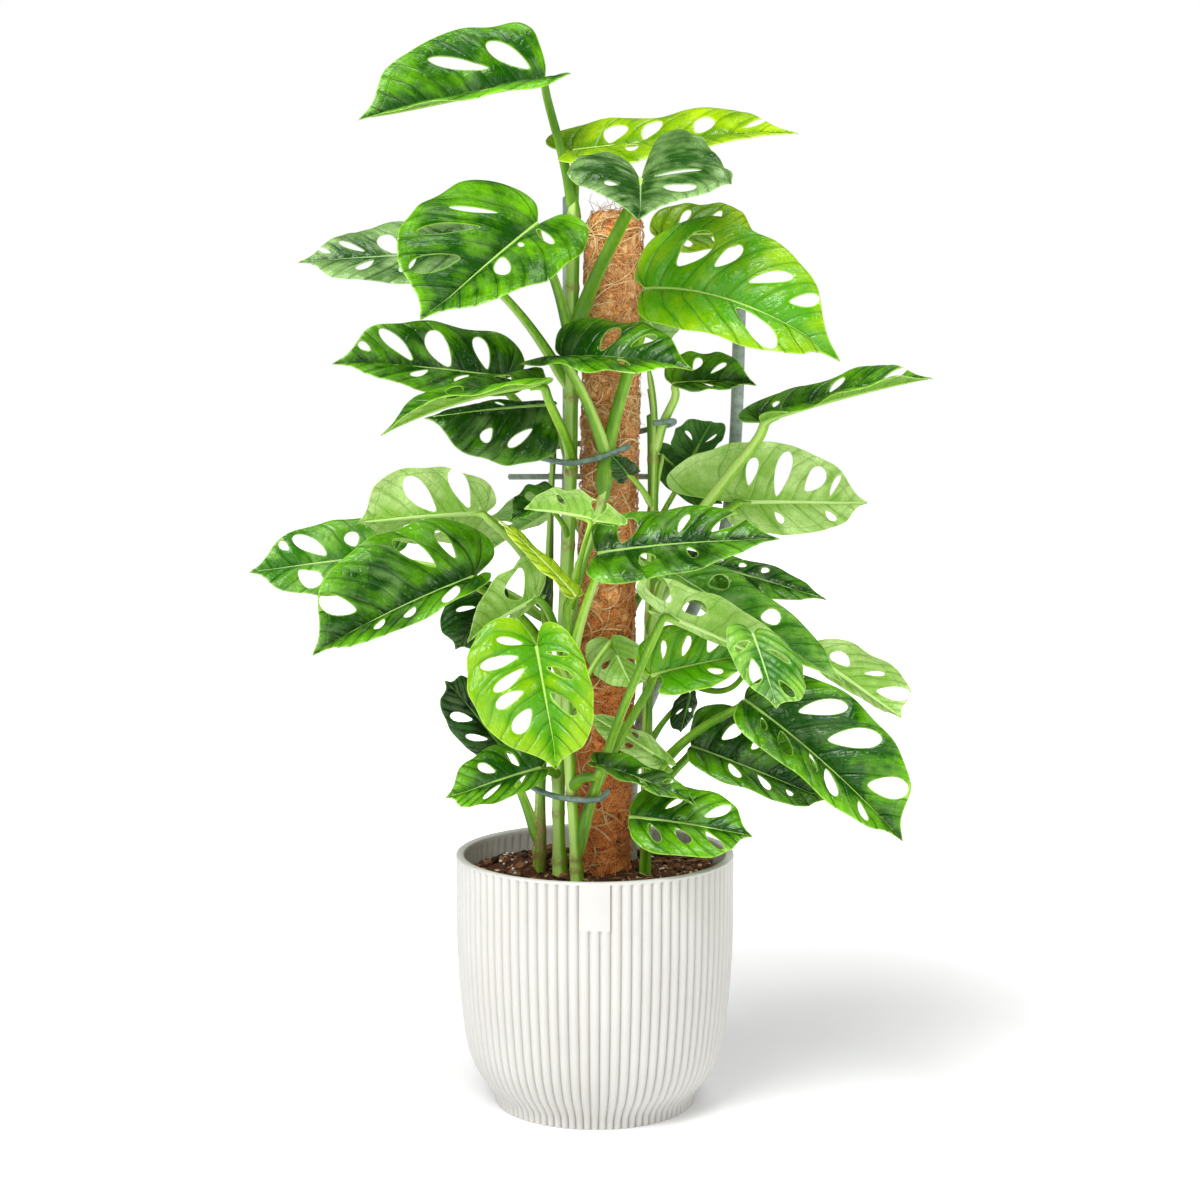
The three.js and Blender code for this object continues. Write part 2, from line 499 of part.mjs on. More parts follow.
function holeRing(leaf, side, [s, w, long, wide, angle]) {
  const width = halfOf(leaf, side).length();
  const lean = THREE.MathUtils.degToRad(angle ?? 78 - 40 * s);
  return circle(1, HOLE_SIDES).map(({ x, y }) => {
    const across = x * long * Math.sin(lean) - y * wide * Math.cos(lean);
    const along = x * long * Math.cos(lean) + y * wide * Math.sin(lean);
    return [s + along / leaf.length, w + across / width];
  });
}

function halfEdge(leaf, side) {
  const [lobe, taper] = [leaf.lobes, leaf.taper].map((pair) => pair[side < 0 ? 0 : 1]);
  const points = HALF_OUTLINE.map(([s, w]) => (
    new THREE.Vector2(s < 0 ? s * lobe : s, w * (1 + taper * (TAPER_MIDDLE - Math.max(s, 0))))));
  return new THREE.SplineCurve(points).getPoints(EDGE_POINTS).map((p) => [p.x, p.y]);
}

// A blade: both halves cut with their holes, split into triangles alike on both faces.
function bladeSolid(leaf) {
  const points = [];
  const places = new Map();
  const place = (side, s, w) => {
    const onRib = w < 1e-6;
    const key = `${onRib ? 0 : side}:${s.toFixed(5)}:${w.toFixed(5)}`;
    if (!places.has(key)) {
      places.set(key, points.length);
      points.push([side, s, onRib ? 0 : w]);
    }
    return places.get(key);
  };
  const faces = [];
  for (const side of [-1, 1]) {
    const width = halfOf(leaf, side).length();
    const edge = halfEdge(leaf, side);
    for (let i = RIB_POINTS; i > 0; i -= 1) edge.push([i / (RIB_POINTS + 1), 0]);
    const rings = [edge, ...halfHoles(leaf, side).map((hole) => holeRing(leaf, side, hole))];
    const flatten = ([s, w]) => new THREE.Vector2(side * w * width, s * leaf.length);
    const flat = rings.map((ring) => ring.map(flatten));
    const index = rings.flat().map(([s, w]) => place(side, s, w));
    const spots = flat.flat();
    for (const [a, b, c] of THREE.ShapeUtils.triangulateShape(flat[0], flat.slice(1))) {
      const turn = THREE.ShapeUtils.area([spots[a], spots[b], spots[c]]);
      faces.push(turn > 0 ? [index[a], index[b], index[c]] : [index[a], index[c], index[b]]);
    }
  }
  const count = points.length;
  const middles = points.map(([side, s, w]) => bladePoint(leaf, side, s, w));
  const normals = points.map(([side, s, w]) => bladeNormal(leaf, side, s, w));
  const upper = middles.map((p, i) => p.clone().addScaledVector(normals[i], BLADE_THICKNESS / 2));
  const lower = middles.map((p, i) => p.clone().addScaledVector(normals[i], -BLADE_THICKNESS / 2));
  const edges = new Set(faces.flatMap(([a, b, c]) => [`${a}_${b}`, `${b}_${c}`, `${c}_${a}`]));
  const triangles = faces.flatMap(([a, b, c]) => [[a, b, c], [c + count, b + count, a + count]]);
  for (const edge of edges) {
    const [a, b] = edge.split('_').map(Number);
    if (!edges.has(`${b}_${a}`)) triangles.push([b, a, a + count], [b, a + count, b + count]);
  }
  return solidFrom([...upper, ...lower], triangles);
}

// Point on a vine's centre line at a height.
function vinePoint(name, height) {
  const samples = smoothLine(VINES[name].line).getPoints(200);
  return samples.reduce((best, p) => (Math.abs(p.z - height) < Math.abs(best.z - height) ? p : best));
}

function stalkRadius(leaf) {
  return leaf.girth ?? (leaf.length > LONG_LEAF ? 2.8 : 1.8);
}

// The line of a leaf's stalk, from inside its vine to just under the blade's base. It ends further
// off under a blade whose halves droop beside the midrib.
function stalkCurve(leaf) {
  const normal = bladeNormal(leaf, 1, 0, 0);
  const droops = [leaf.left, leaf.right].map((half) => -half.dot(normal) / half.length());
  const depth = BLADE_THICKNESS / 2 + STALK_SEAT + stalkRadius(leaf) * Math.max(0, ...droops);
  const start = vinePoint(...leaf.stem);
  const end = leaf.base.clone().addScaledVector(normal, -depth);
  const reach = start.distanceTo(end);
  const middle = start.clone().lerp(end, 0.5).add(new THREE.Vector3(0, 0, STALK_RISE * reach));
  const knee = end.clone().addScaledVector(normal, -Math.min(STALK_KNEE, reach / 3));
  return new THREE.CubicBezierCurve3(start, leaf.via ? vec(leaf.via) : middle, knee, end);
}

// A vine with the stalks of its leaves.
function vineSolid(name, leaves) {
  const { radius, line } = VINES[name];
  return leaves
    .filter((leaf) => leaf.stem[0] === name)
    .map((leaf) => bar(stalkCurve(leaf), stalkRadius(leaf), STALK_SIDES, STALK_STEPS))
    .reduce((whole, stalk) => whole.add(stalk), bar(smoothLine(line), radius, VINE_SIDES, VINE_STEPS));
}

const leaves = LEAVES.map(readLeaf);
const plant = new THREE.Group();

function add(name, solid, material) {
  const mesh = new THREE.Mesh(geometryOf(solid), material);
  mesh.name = name;
  plant.add(mesh);
}

add('pot', potSolid(), FINISHES.pot);

let soil = soilSolid()
  .subtract(poleBar(POLE_RADIUS + GAP, POLE_FOOT[2] - GAP, POLE_TOP[2]))
  .subtract(poleBar(STAKE_RADIUS + GAP, STAKE_FOOT_Z - GAP, STAKE_TOP_Z))
  .subtract(frameSolid(GAP));
for (const { radius, line } of Object.values(VINES)) {
  soil = soil.subtract(bar(smoothLine(line), radius + GAP, VINE_SIDES, VINE_STEPS));
}
add('soil', soil, FINISHES.soil);

add('pole_stake', poleBar(STAKE_RADIUS, STAKE_FOOT_Z, STAKE_TOP_Z), FINISHES.pole_stake);
add('coir_pole', poleBar(POLE_RADIUS, POLE_FOOT[2], POLE_TOP[2])
  .subtract(poleBar(STAKE_RADIUS + GAP, POLE_FOOT[2] - 1, STAKE_TOP_Z + GAP)), FINISHES.coir_pole);
add('support_frame', frameSolid(0), FINISHES.support_frame);
for (const [name, line] of Object.entries(TIE_LINES)) {
  add(name, bar(smoothLine(line), TIE_RADIUS, TIE_SIDES, TIE_STEPS), FINISHES[name]);
}
for (const name of Object.keys(VINES)) add(name, vineSolid(name, leaves), FINISHES.vine);
for (const leaf of leaves) add(`leaf_${leaf.name}`, bladeSolid(leaf), finish(TONES[leaf.tone], 0.4));

export default plant;
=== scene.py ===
"""Monstera adansonii on a coir pole, in a ribbed pot: the looks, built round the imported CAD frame.

Sizes and places are in millimetres, in the frame's axes: +Z up, the viewer on the -Y side.
"""

from math import cos, exp, hypot, pi, radians, sin, sqrt, tan

import bpy
import numpy as np
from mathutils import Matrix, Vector
from mathutils import noise as relief
from mathutils.geometry import delaunay_2d_cdt
from numpy.linalg import norm


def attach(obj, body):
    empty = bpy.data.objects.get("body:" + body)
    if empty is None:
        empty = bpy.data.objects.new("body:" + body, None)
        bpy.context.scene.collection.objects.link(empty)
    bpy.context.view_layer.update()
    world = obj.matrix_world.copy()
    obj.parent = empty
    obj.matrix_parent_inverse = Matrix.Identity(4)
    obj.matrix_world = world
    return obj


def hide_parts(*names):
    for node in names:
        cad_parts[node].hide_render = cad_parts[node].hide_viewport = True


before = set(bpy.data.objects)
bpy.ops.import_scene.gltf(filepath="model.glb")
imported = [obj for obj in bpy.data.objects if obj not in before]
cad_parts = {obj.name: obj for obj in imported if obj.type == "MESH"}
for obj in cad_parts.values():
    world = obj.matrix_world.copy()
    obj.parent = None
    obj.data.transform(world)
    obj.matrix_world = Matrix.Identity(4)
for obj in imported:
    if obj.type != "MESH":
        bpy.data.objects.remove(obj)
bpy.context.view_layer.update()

MM = 0.001
RANDOM = np.random.default_rng(11)

# Camera, at the photograph's viewing angle
CAMERA_PLACE = (3.36, -1496.6, 497.9)
CAMERA_PITCH = 0.108
CAMERA_LENS = 68.87
SENSOR = 36

# The world's brightness where it lights, where it is mirrored and where it is seen
WORLD = [("", 0.33), ("Is Glossy Ray", 0.08), ("Is Camera Ray", 1.0)]
# Name, kind, place in metres, size in degrees or metres, power
LIGHTS = [
    ("key", "SUN", (-1.1, -1.3, 2.2), 34, 1.6),
    ("top", "SUN", (0.5, 0.3, 2.2), 26, 0.75),
    ("softbox_top", "AREA", (-0.35, -0.9, 1.75), 0.7, 16),
    ("softbox_left", "AREA", (-1.3, -1.1, 1.2), 0.6, 5),
    ("softbox_right", "AREA", (1.5, -0.5, 1.1), 0.7, 7),
    ("softbox_front", "AREA", (0.2, -1.9, 0.75), 1.1, 6.5),
]
LIGHT_AIM = (0, 0, 0.38)  # in metres too
FLOOR_HALF = 6000

# Pot
POT_HEIGHT = 168
POT_RADIUS = 92
POT_WALL = 5.4
POT_FLOOR = 5
RIB_COUNT = 84
RIB_STEPS = 10  # points round each rib
RIB_DEPTH = 1.9
INNER_RIB_DEPTH = 0.9
INNER_RIB_ENDS = [(164, 0), (162.5, INNER_RIB_DEPTH), (150, INNER_RIB_DEPTH), (138, 0)]
RIB_TOP = 166.8
LIP_RADIUS = 1.2
PAD_RIBS = 1.45  # half width of the blank pad, in ribs
PAD_FOOT = 137.5
# Radius and height, up the outside and then down the inside
POT_PROFILE = [(66.7, 0), (67.6, 7), (71.5, 13), (77.4, 20.5), (84.2, 36), (89, 68),
               (91.5, 108), (92, 163)]
POT_INSIDE = [(84, 80), (76, 34), (61, POT_FLOOR)]

# Soil
SOIL_LEVEL = 152
SOIL_MOUND = 5
SOIL_EDGE = 86.3
SOIL_REACH = 84  # how far out crumbs lie
SOIL_SKIRT = [(60.7, 5.3), (76, 40), (80.5, 80), (SOIL_EDGE, 137)]
SOIL_SIDES = 200
SOIL_RINGS = 58
CRUMBS = 1150
PERLITE_GRAINS = 70
ROOTLETS = 220
ROOTLET_STEPS = 7

# Coir pole
POLE_RADIUS = 19
POLE_FOOT = (3, 0, 62)
POLE_TOP = (12.5, 0, 587)
SOIL_AT_POLE = 150
MAT_SIDES = 60
MAT_RINGS = 190
STRANDS = 1650
STRAND_STEP = 2.6  # from point to point along a strand
LOOSE_STRANDS = 150
LOOSE_ON_TOP = 34  # of the loose strands, those that rise from the pole's top

# Coated wire frame and ties
UPRIGHT_RADIUS = 4.2
RUNG_RADIUS = 1.9
UPRIGHT_LINES = [
    [(-25, 30, 118), (-24, 29, 220), (-18, 29, 400), (-17, 29, 598)],
    [(24, 34, 118), (29, 34, 240), (56, 31, 305), (84, 25, 370), (92, 21, 430), (95, 20, 530)],
]
RUNG_LINE = [(-57, 26, 415), (20, 29, 415), (91.5, 21.5, 415)]
TIE_RADIUS = 1.9
TIE_LINES = {
    "tie_upper": [(22, -38, 438), (4, -38, 431), (-16, -31, 427), (-34, -26, 430), (-42, -8, 432),
                  (-36, 8, 434), (-20, 20, 436), (10, 21.3, 440), (32, 16, 446), (48, 5, 450),
                  (50.5, -12, 453), (38, -20, 452)],
    "tie_lower": [(9, -36, 216), (4, -38, 211), (-12, -37, 210), (-29, -31, 212), (-42, -16, 215),
                  (-43, 0, 217), (-35, 13, 218), (-17, 20.5, 218), (5.8, 21.3, 217),
                  (17, 18.7, 216.5), (24.6, 11, 216)],
}

# Vines: radius and centre line, from inside the soil upwards
VINES = {
    "vine_main": (4.4, [(-21, -15, 118), (-24, -16, 200), (-21, -17, 300), (-16, -16, 400),
                        (-15, -15, 480), (-14, -12, 560), (-13, -10, 596)]),
    "vine_left": (3.3, [(-37, -4, 118), (-36, -2, 210), (-32, 2, 300), (-29, 3, 390),
                        (-27, 4, 455)]),
    "vine_front": (3.8, [(-9, -29, 118), (-13, -30, 180), (-17, -31, 250), (-17, -33, 300),
                         (-12, -33, 350), (3, -33, 395), (12, -31, 433)]),
    "vine_right": (3.4, [(32, -12, 118), (34, -11, 220), (36, -9, 330), (38, -7, 420),
                         (37, -5, 462), (33, -6, 488)]),
    "vine_back": (3.3, [(8, 37, 118), (12, 40, 240), (14, 41, 400), (15, 36, 520)]),
}

# Vines that are a bundle of slender stems
BUNDLES = {"vine_right": 3, "vine_left": 2}
# A bundle's stems: girth and distance from its middle line as shares of the vine's radius, and
# millimetres of height to a radian of twist
BUNDLE_GIRTH = 0.62
BUNDLE_SPREAD = 0.55
BUNDLE_TWIST = 85
BUNDLE_STEP = 23  # each stem ends so many points before the last one

# Dried sheath round a vine: height of its middle, spread, and extra girth
OLD_SHEATHS = {"vine_left": (176, 22, 0.9)}

VINE_SIDES = 14
JOINT_GAP = 31
JOINT_SWELL = 0.14  # extra girth at a joint
JOINT_SPREAD = 2.6

# Leaf stalks
STALK_SIDES = 12
THICK_STALK = 2.8
THIN_STALK = 1.8
STALK_KNEE = 14
STALK_SEAT = 0.8
STALK_RISE = 0.2
STALK_GIRTH = 1.12  # the real stalk against its CAD solid
# How far the end of a stalk runs under the blade, and how far along the midrib
STALK_TAIL = [(2.3, 0.8), (1.2, 4.0), (0.8, 10)]
LONG_LEAF = 60  # a longer leaf has a thick stalk and two holes in each half
CAD_BLADE = 0.9  # the thickness of the blade in the CAD

# Leaf blades
BLADE_THICKNESS = 0.5
BLADE_RIM = 0.2
BLADE_GRID = 1.75
RIB_SINK = 0.75  # how far the midrib's middle line lies below the blade's
WAVES = 2.5
HOLE_GROWTH = 1.14  # the real hole against the one in the CAD blade
MARGIN_VEIN = 4.6
HOOK = 0.035  # the most a tip bends aside, as a share of the leaf's length
HOOK_SPAN = (0.76, 1.02)
RIB_CLEAR = 1.8  # holes keep so far from the midrib
HOLE_POINTS = 2.2  # points round a hole for each millimetre of its half length
# How deep and how wide the margins curl down, and the channel over the midrib
CURL_DEPTH = 1.1
CURL_WIDTH = 2.4
CHANNEL_DEPTH = 0.45
CHANNEL_WIDTH = 0.9
QUILT = 0.075  # swelling between the side veins, as a share of their gap
ROLL = 0.014  # slow waves of the blade, as a share of its length
# Side veins lean from the midrib by so many degrees at the base, and less towards the tip
VEIN_LEAN = 78
VEIN_LEAN_DROP = 40
VEIN_GAP = 0.13  # about the gap between side veins, as a share of the leaf's length
VEIN_ENDS = (-0.34, 1.04)
# The grain is drawn out along the side veins
GRAIN_ALONG = 0.001
GRAIN_ACROSS = 0.00016
# One half of a blade: (share of the midrib's length, share of the half's width)
HALF_OUTLINE = [(0, 0), (-0.85, 0.15), (-1, 0.42), (-0.55, 0.72), (0.08, 0.93),
                (0.32, 1), (0.54, 0.93), (0.74, 0.72), (0.9, 0.36), (1, 0)]
TAPER_MIDDLE = 0.35
PLAIN_LEAF = dict(arch=2, bulge=0.08, wave=1.5, lobes=(0.12, 0.12), taper=(0, 0), via=None)
# Upper side dark and light, underside dark and light, vein, and how much pale bloom and painted
# sheen lies on the top
TONES = {
    "fresh": ("489002", "88b408", "6f9f30", "b2d46a", "b4dc50", 0.1),
    "lime": ("5c8c00", "a6cc04", "8cb23c", "c6e07c", "cfe66a", 0.05),
    "yellow": ("8cb010", "bcd828", "a8c84c", "d8e888", "dcec84", 0.05),
    "bright": ("164c00", "68ae08", "6f9f30", "a8d068", "a8d850", 0.14),
    "mid": ("103e00", "5a9c0a", "5f9434", "9cc466", "9ac84c", 0.2),
    "deep": ("0a3000", "3c7c08", "4a7c2e", "86ae58", "80b040", 0.2),
    # The silvery tone gets the most painted sheen on its top
    "silver_sheen": ("204c0c", "7ea45c", "5d8e4a", "9cc084", "9cc470", 0.5),
    "soft": ("2c6c08", "80b83c", "78a84c", "b0d084", "b8dc78", 0.3),
    "dark": ("062400", "1e5604", "2e601c", "5a8e3c", "5a9634", 0.15),
    "pale": ("3c841a", "78b848", "86b446", "c8e692", "b2d474", 0.2),
}
# Pale waxy bloom mixed with painted sheen: milky reflections of the lights painted into the leaf
# tops
BLOOM_AND_SHEEN = "acd088"
LEAF_SPOT = "6a4010"

# Leaves: name, end of the stalk, tip, offsets from the midrib to the left and right edge where the
# leaf is widest, the vine and height that its stalk leaves from, tone, and what isn't plain.
LEAVES = [
    ("top_left", (-32, -5, 670), (-147, -45, 641), (0, -36, -6), (-14, 15, 41),
     "vine_main", 585, "bright",
     dict(via=(-18, -9, 622), arch=0, lobes=(0.14, 0.03), taper=(0.2, 0.2))),
    ("top_right", (-14, 0, 626), (128, -30, 634), (-1, 34, 21), (-10, -34, -13),
     "vine_main", 540, "lime", dict(lobes=(0.12, 0.02))),
    ("crown", (28, -85, 602), (27, -135, 575), (55, -7, 8), (-44, -3, 12),
     "vine_main", 500, "silver_sheen",
     dict(girth=4, via=(-4, -22, 548), arch=0, bulge=0.1, lobes=(0.95, 0.3))),
    ("upper_left", (-36, -35, 578), (-102, -115, 516), (34, -29, -13), (-49, 0, 30),
     "vine_main", 500, "bright", dict(lobes=(0.14, 0.12), taper=(0.3, 0))),
    ("far_upper_left", (-81, 5, 560), (-190, -15, 554), (-1, -28, -18), (-5, 22, 22),
     "vine_main", 470, "silver_sheen", dict(taper=(0, 0.3))),
    ("upper_right", (32, -40, 537), (150, -100, 494), (19, 22, 45), (-4, -25, -24),
     "vine_front", 404, "fresh", dict(girth=3.8, via=(4, -30, 455), arch=20, lobes=(0.1, 0.02))),
    ("behind_right", (43, 25, 572), (109, 50, 575), (3, 20, 23), (5, -12, -10),
     "vine_back", 500, "lime"),
    ("over_pole", (-20, -45, 494), (60, -98, 486), (5, 22, 25), (-2, -34, -7),
     "vine_front", 424, "bright", dict(girth=3.2, arch=4, lobes=(0.08, 0.34))),
    ("mid_left", (-58, -5, 481), (-165, -45, 492), (-1, -34, -13), (-3, 12, 31),
     "vine_left", 430, "mid"),
    ("mid_left_edge", (-31, -60, 478), (-130, -105, 448), (1, -36, 3), (-5, 28, 11),
     "vine_main", 422, "bright", dict(girth=3.4, via=(-12, -38, 440), arch=5, lobes=(0.05, 0.02))),
    ("mid_left_under", (-27, -28, 464), (-107, -52, 456), (6, -15, -35), (-4, 14, 4),
     "vine_main", 425, "mid", dict(lobes=(0, 0.05))),
    ("small_right", (50, -10, 477), (102, -40, 478), (1, 12, 20), (4, -17, -4),
     "vine_right", 430, "bright", dict(lobes=(0.1, 0.02))),
    ("far_right_fold", (107, -30, 454), (212, -50, 482), (2, 30, 15), (-1, -25, 4),
     "vine_right", 330, "bright", dict(girth=3.6, via=(60, 2, 400), lobes=(0.14, 0.02))),
    ("right_pale", (92, 0, 400), (177, -12, 400), (5, 8, -22), (-4, -8, 39),
     "vine_right", 345, "pale", dict(taper=(0, 0.3), lobes=(0.1, 0.5))),
    ("small_dark", (64, 13, 429), (77, 7, 453), (16, 4, 4), (-16, 0, 8),
     "vine_right", 380, "dark", dict(via=(48, 12, 400))),
    ("right_back_dark", (43, 15, 430), (84, 16, 397), (-5, 0, -14), (7, 1, 8),
     "vine_right", 395, "dark"),
    ("left_pale", (-72, -15, 394), (-150, -50, 390), (-6, -6, 31), (-1, 20, -20),
     "vine_left", 340, "pale", dict(taper=(-0.3, 0))),
    ("far_left", (-134, 10, 364), (-223, -25, 356), (-1, -18, -20), (-2, 15, 27),
     "vine_left", 320, "soft"),
    ("left_big", (-76, -60, 357), (-172, -115, 315), (4, -30, -8), (-27, 8, 39),
     "vine_left", 300, "mid", dict(arch=5, lobes=(0.1, 0.2))),
    ("left_dark", (-62, -10, 343), (-88, -40, 308), (6, -6, -12), (-25, 2, 3),
     "vine_left", 290, "dark"),
    ("left_pale_fold", (-37, -45, 342), (-80, -85, 319), (3, -8, 32), (1, 15, -6),
     "vine_main", 300, "pale"),
    ("left_dark_back", (-33, -26, 336), (-40, -16, 368), (-9, 0, 4), (6, 3, 9),
     "vine_left", 300, "dark"),
    ("heart", (-36, -85, 316), (-22, -110, 243), (30, -14, 1), (-46, -8, 0),
     "vine_front", 280, "fresh", dict(lobes=(0.2, 0.24))),
    ("yellow_edge", (-12, -55, 344), (-61, -62, 394), (-6, -5, 0), (5, 6, 2),
     "vine_front", 290, "yellow", dict(lobes=(0.02, 0.02))),
    ("centre_pale", (-2, -82, 395), (-44, -94, 402), (2, -4, 15), (-1, 12, 0),
     "vine_front", 330, "pale", dict(lobes=(0.5, 0.3))),
    ("centre_dark", (-25, -40, 404), (-53, -72, 393), (4, -12, -1), (-7, 9, 12),
     "vine_main", 375, "deep"),
    ("centre_right", (2, -75, 373), (113, -105, 384), (-3, 22, 22), (-7, -28, -17),
     "vine_front", 285, "mid", dict(arch=3, lobes=(0.02, 0.02))),
    ("right_back", (63, 10, 360), (151, -15, 337), (4, 15, 9), (-3, -12, -10),
     "vine_right", 325, "mid"),
    ("right_long", (47, -30, 358), (158, -58, 287), (14, 18, 13), (-7, -18, -3),
     "vine_right", 310, "soft"),
    ("right_pale_fold", (44, -74, 335), (130, -92, 297), (-3, 8, -3), (0, -6, 26),
     "vine_front", 165, "pale", dict(via=(0, -18, 235), lobes=(0.1, 0.2))),
    ("right_low_mid", (36, -50, 293), (103, -62, 309), (-4, 6, 27), (2, -22, -12),
     "vine_front", 172, "fresh", dict(via=(2, -26, 240), lobes=(0.12, -0.1))),
    ("right_bright", (97, -100, 326), (110, -130, 284), (26, -4, -8), (-19, 0, 2),
     "vine_right", 300, "soft", dict(via=(100, -45, 250))),
    ("far_right_pale", (143, 5, 299), (201, -10, 259), (0, 6, -8), (27, -7, 11),
     "vine_right", 280, "pale"),
    ("right_large", (95, -55, 278), (192, -95, 195), (38, 5, 22), (-9, -28, -13),
     "vine_right", 215, "bright", dict(arch=8, lobes=(0.05, 0.02))),
    ("right_large_back", (63, -20, 242), (153, -55, 211), (8, 15, 30), (0, -22, -12),
     "vine_right", 195, "mid", dict(lobes=(0.03, 0.03))),
    ("low_right", (22, -62, 204), (98, -98, 199), (11, 22, 19), (4, -22, -17),
     "vine_right", 175, "bright", dict(lobes=(0.02, 0.02))),
    ("low_right_fold", (3, -62, 237), (65, -95, 218), (6, 16, 7), (-1, -14, -1),
     "vine_front", 215, "mid"),
    ("low_pale", (47, -30, 233), (-4, -26, 264), (-2, -4, 11), (-10, 4, -7),
     "vine_right", 200, "pale"),
    ("centre_low_pale", (10, -26, 312), (25, -34, 281), (-19, 0, -5), (18, 0, 0),
     "vine_front", 262, "pale"),
    ("small_low_dark", (63, 5, 273), (56, -5, 248), (6, 4, -2), (-11, 0, -4),
     "vine_right", 240, "dark"),
    ("low_left_dark", (-59, 0, 235), (-97, -15, 285), (-20, -6, -5), (1, 5, 20),
     "vine_left", 170, "dark"),
    ("low_left", (-35, -38, 231), (-94, -72, 217), (-5, -16, -12), (-8, 15, 19),
     "vine_main", 222, "bright"),
    ("small_front", (21, -42, 420), (10, -46, 433), (-5, -3, -7), (9, 2, 2),
     "vine_right", 395, "dark"),
    ("back_upper", (22, 60, 535), (52, 150, 500), (-32, 0, 4), (28, 8, 12),
     "vine_back", 490, "mid"),
    ("back_left", (-20, 70, 395), (-85, 135, 350), (-26, -22, 10), (22, 24, 8),
     "vine_back", 330, "mid"),
    ("back_right", (40, 68, 350), (95, 135, 300), (-24, 20, 10), (26, -20, 8),
     "vine_back", 290, "fresh"),
    ("back_low", (0, 66, 262), (-22, 140, 225), (-30, -6, 6), (30, 10, 6),
     "vine_back", 210, "mid"),
]

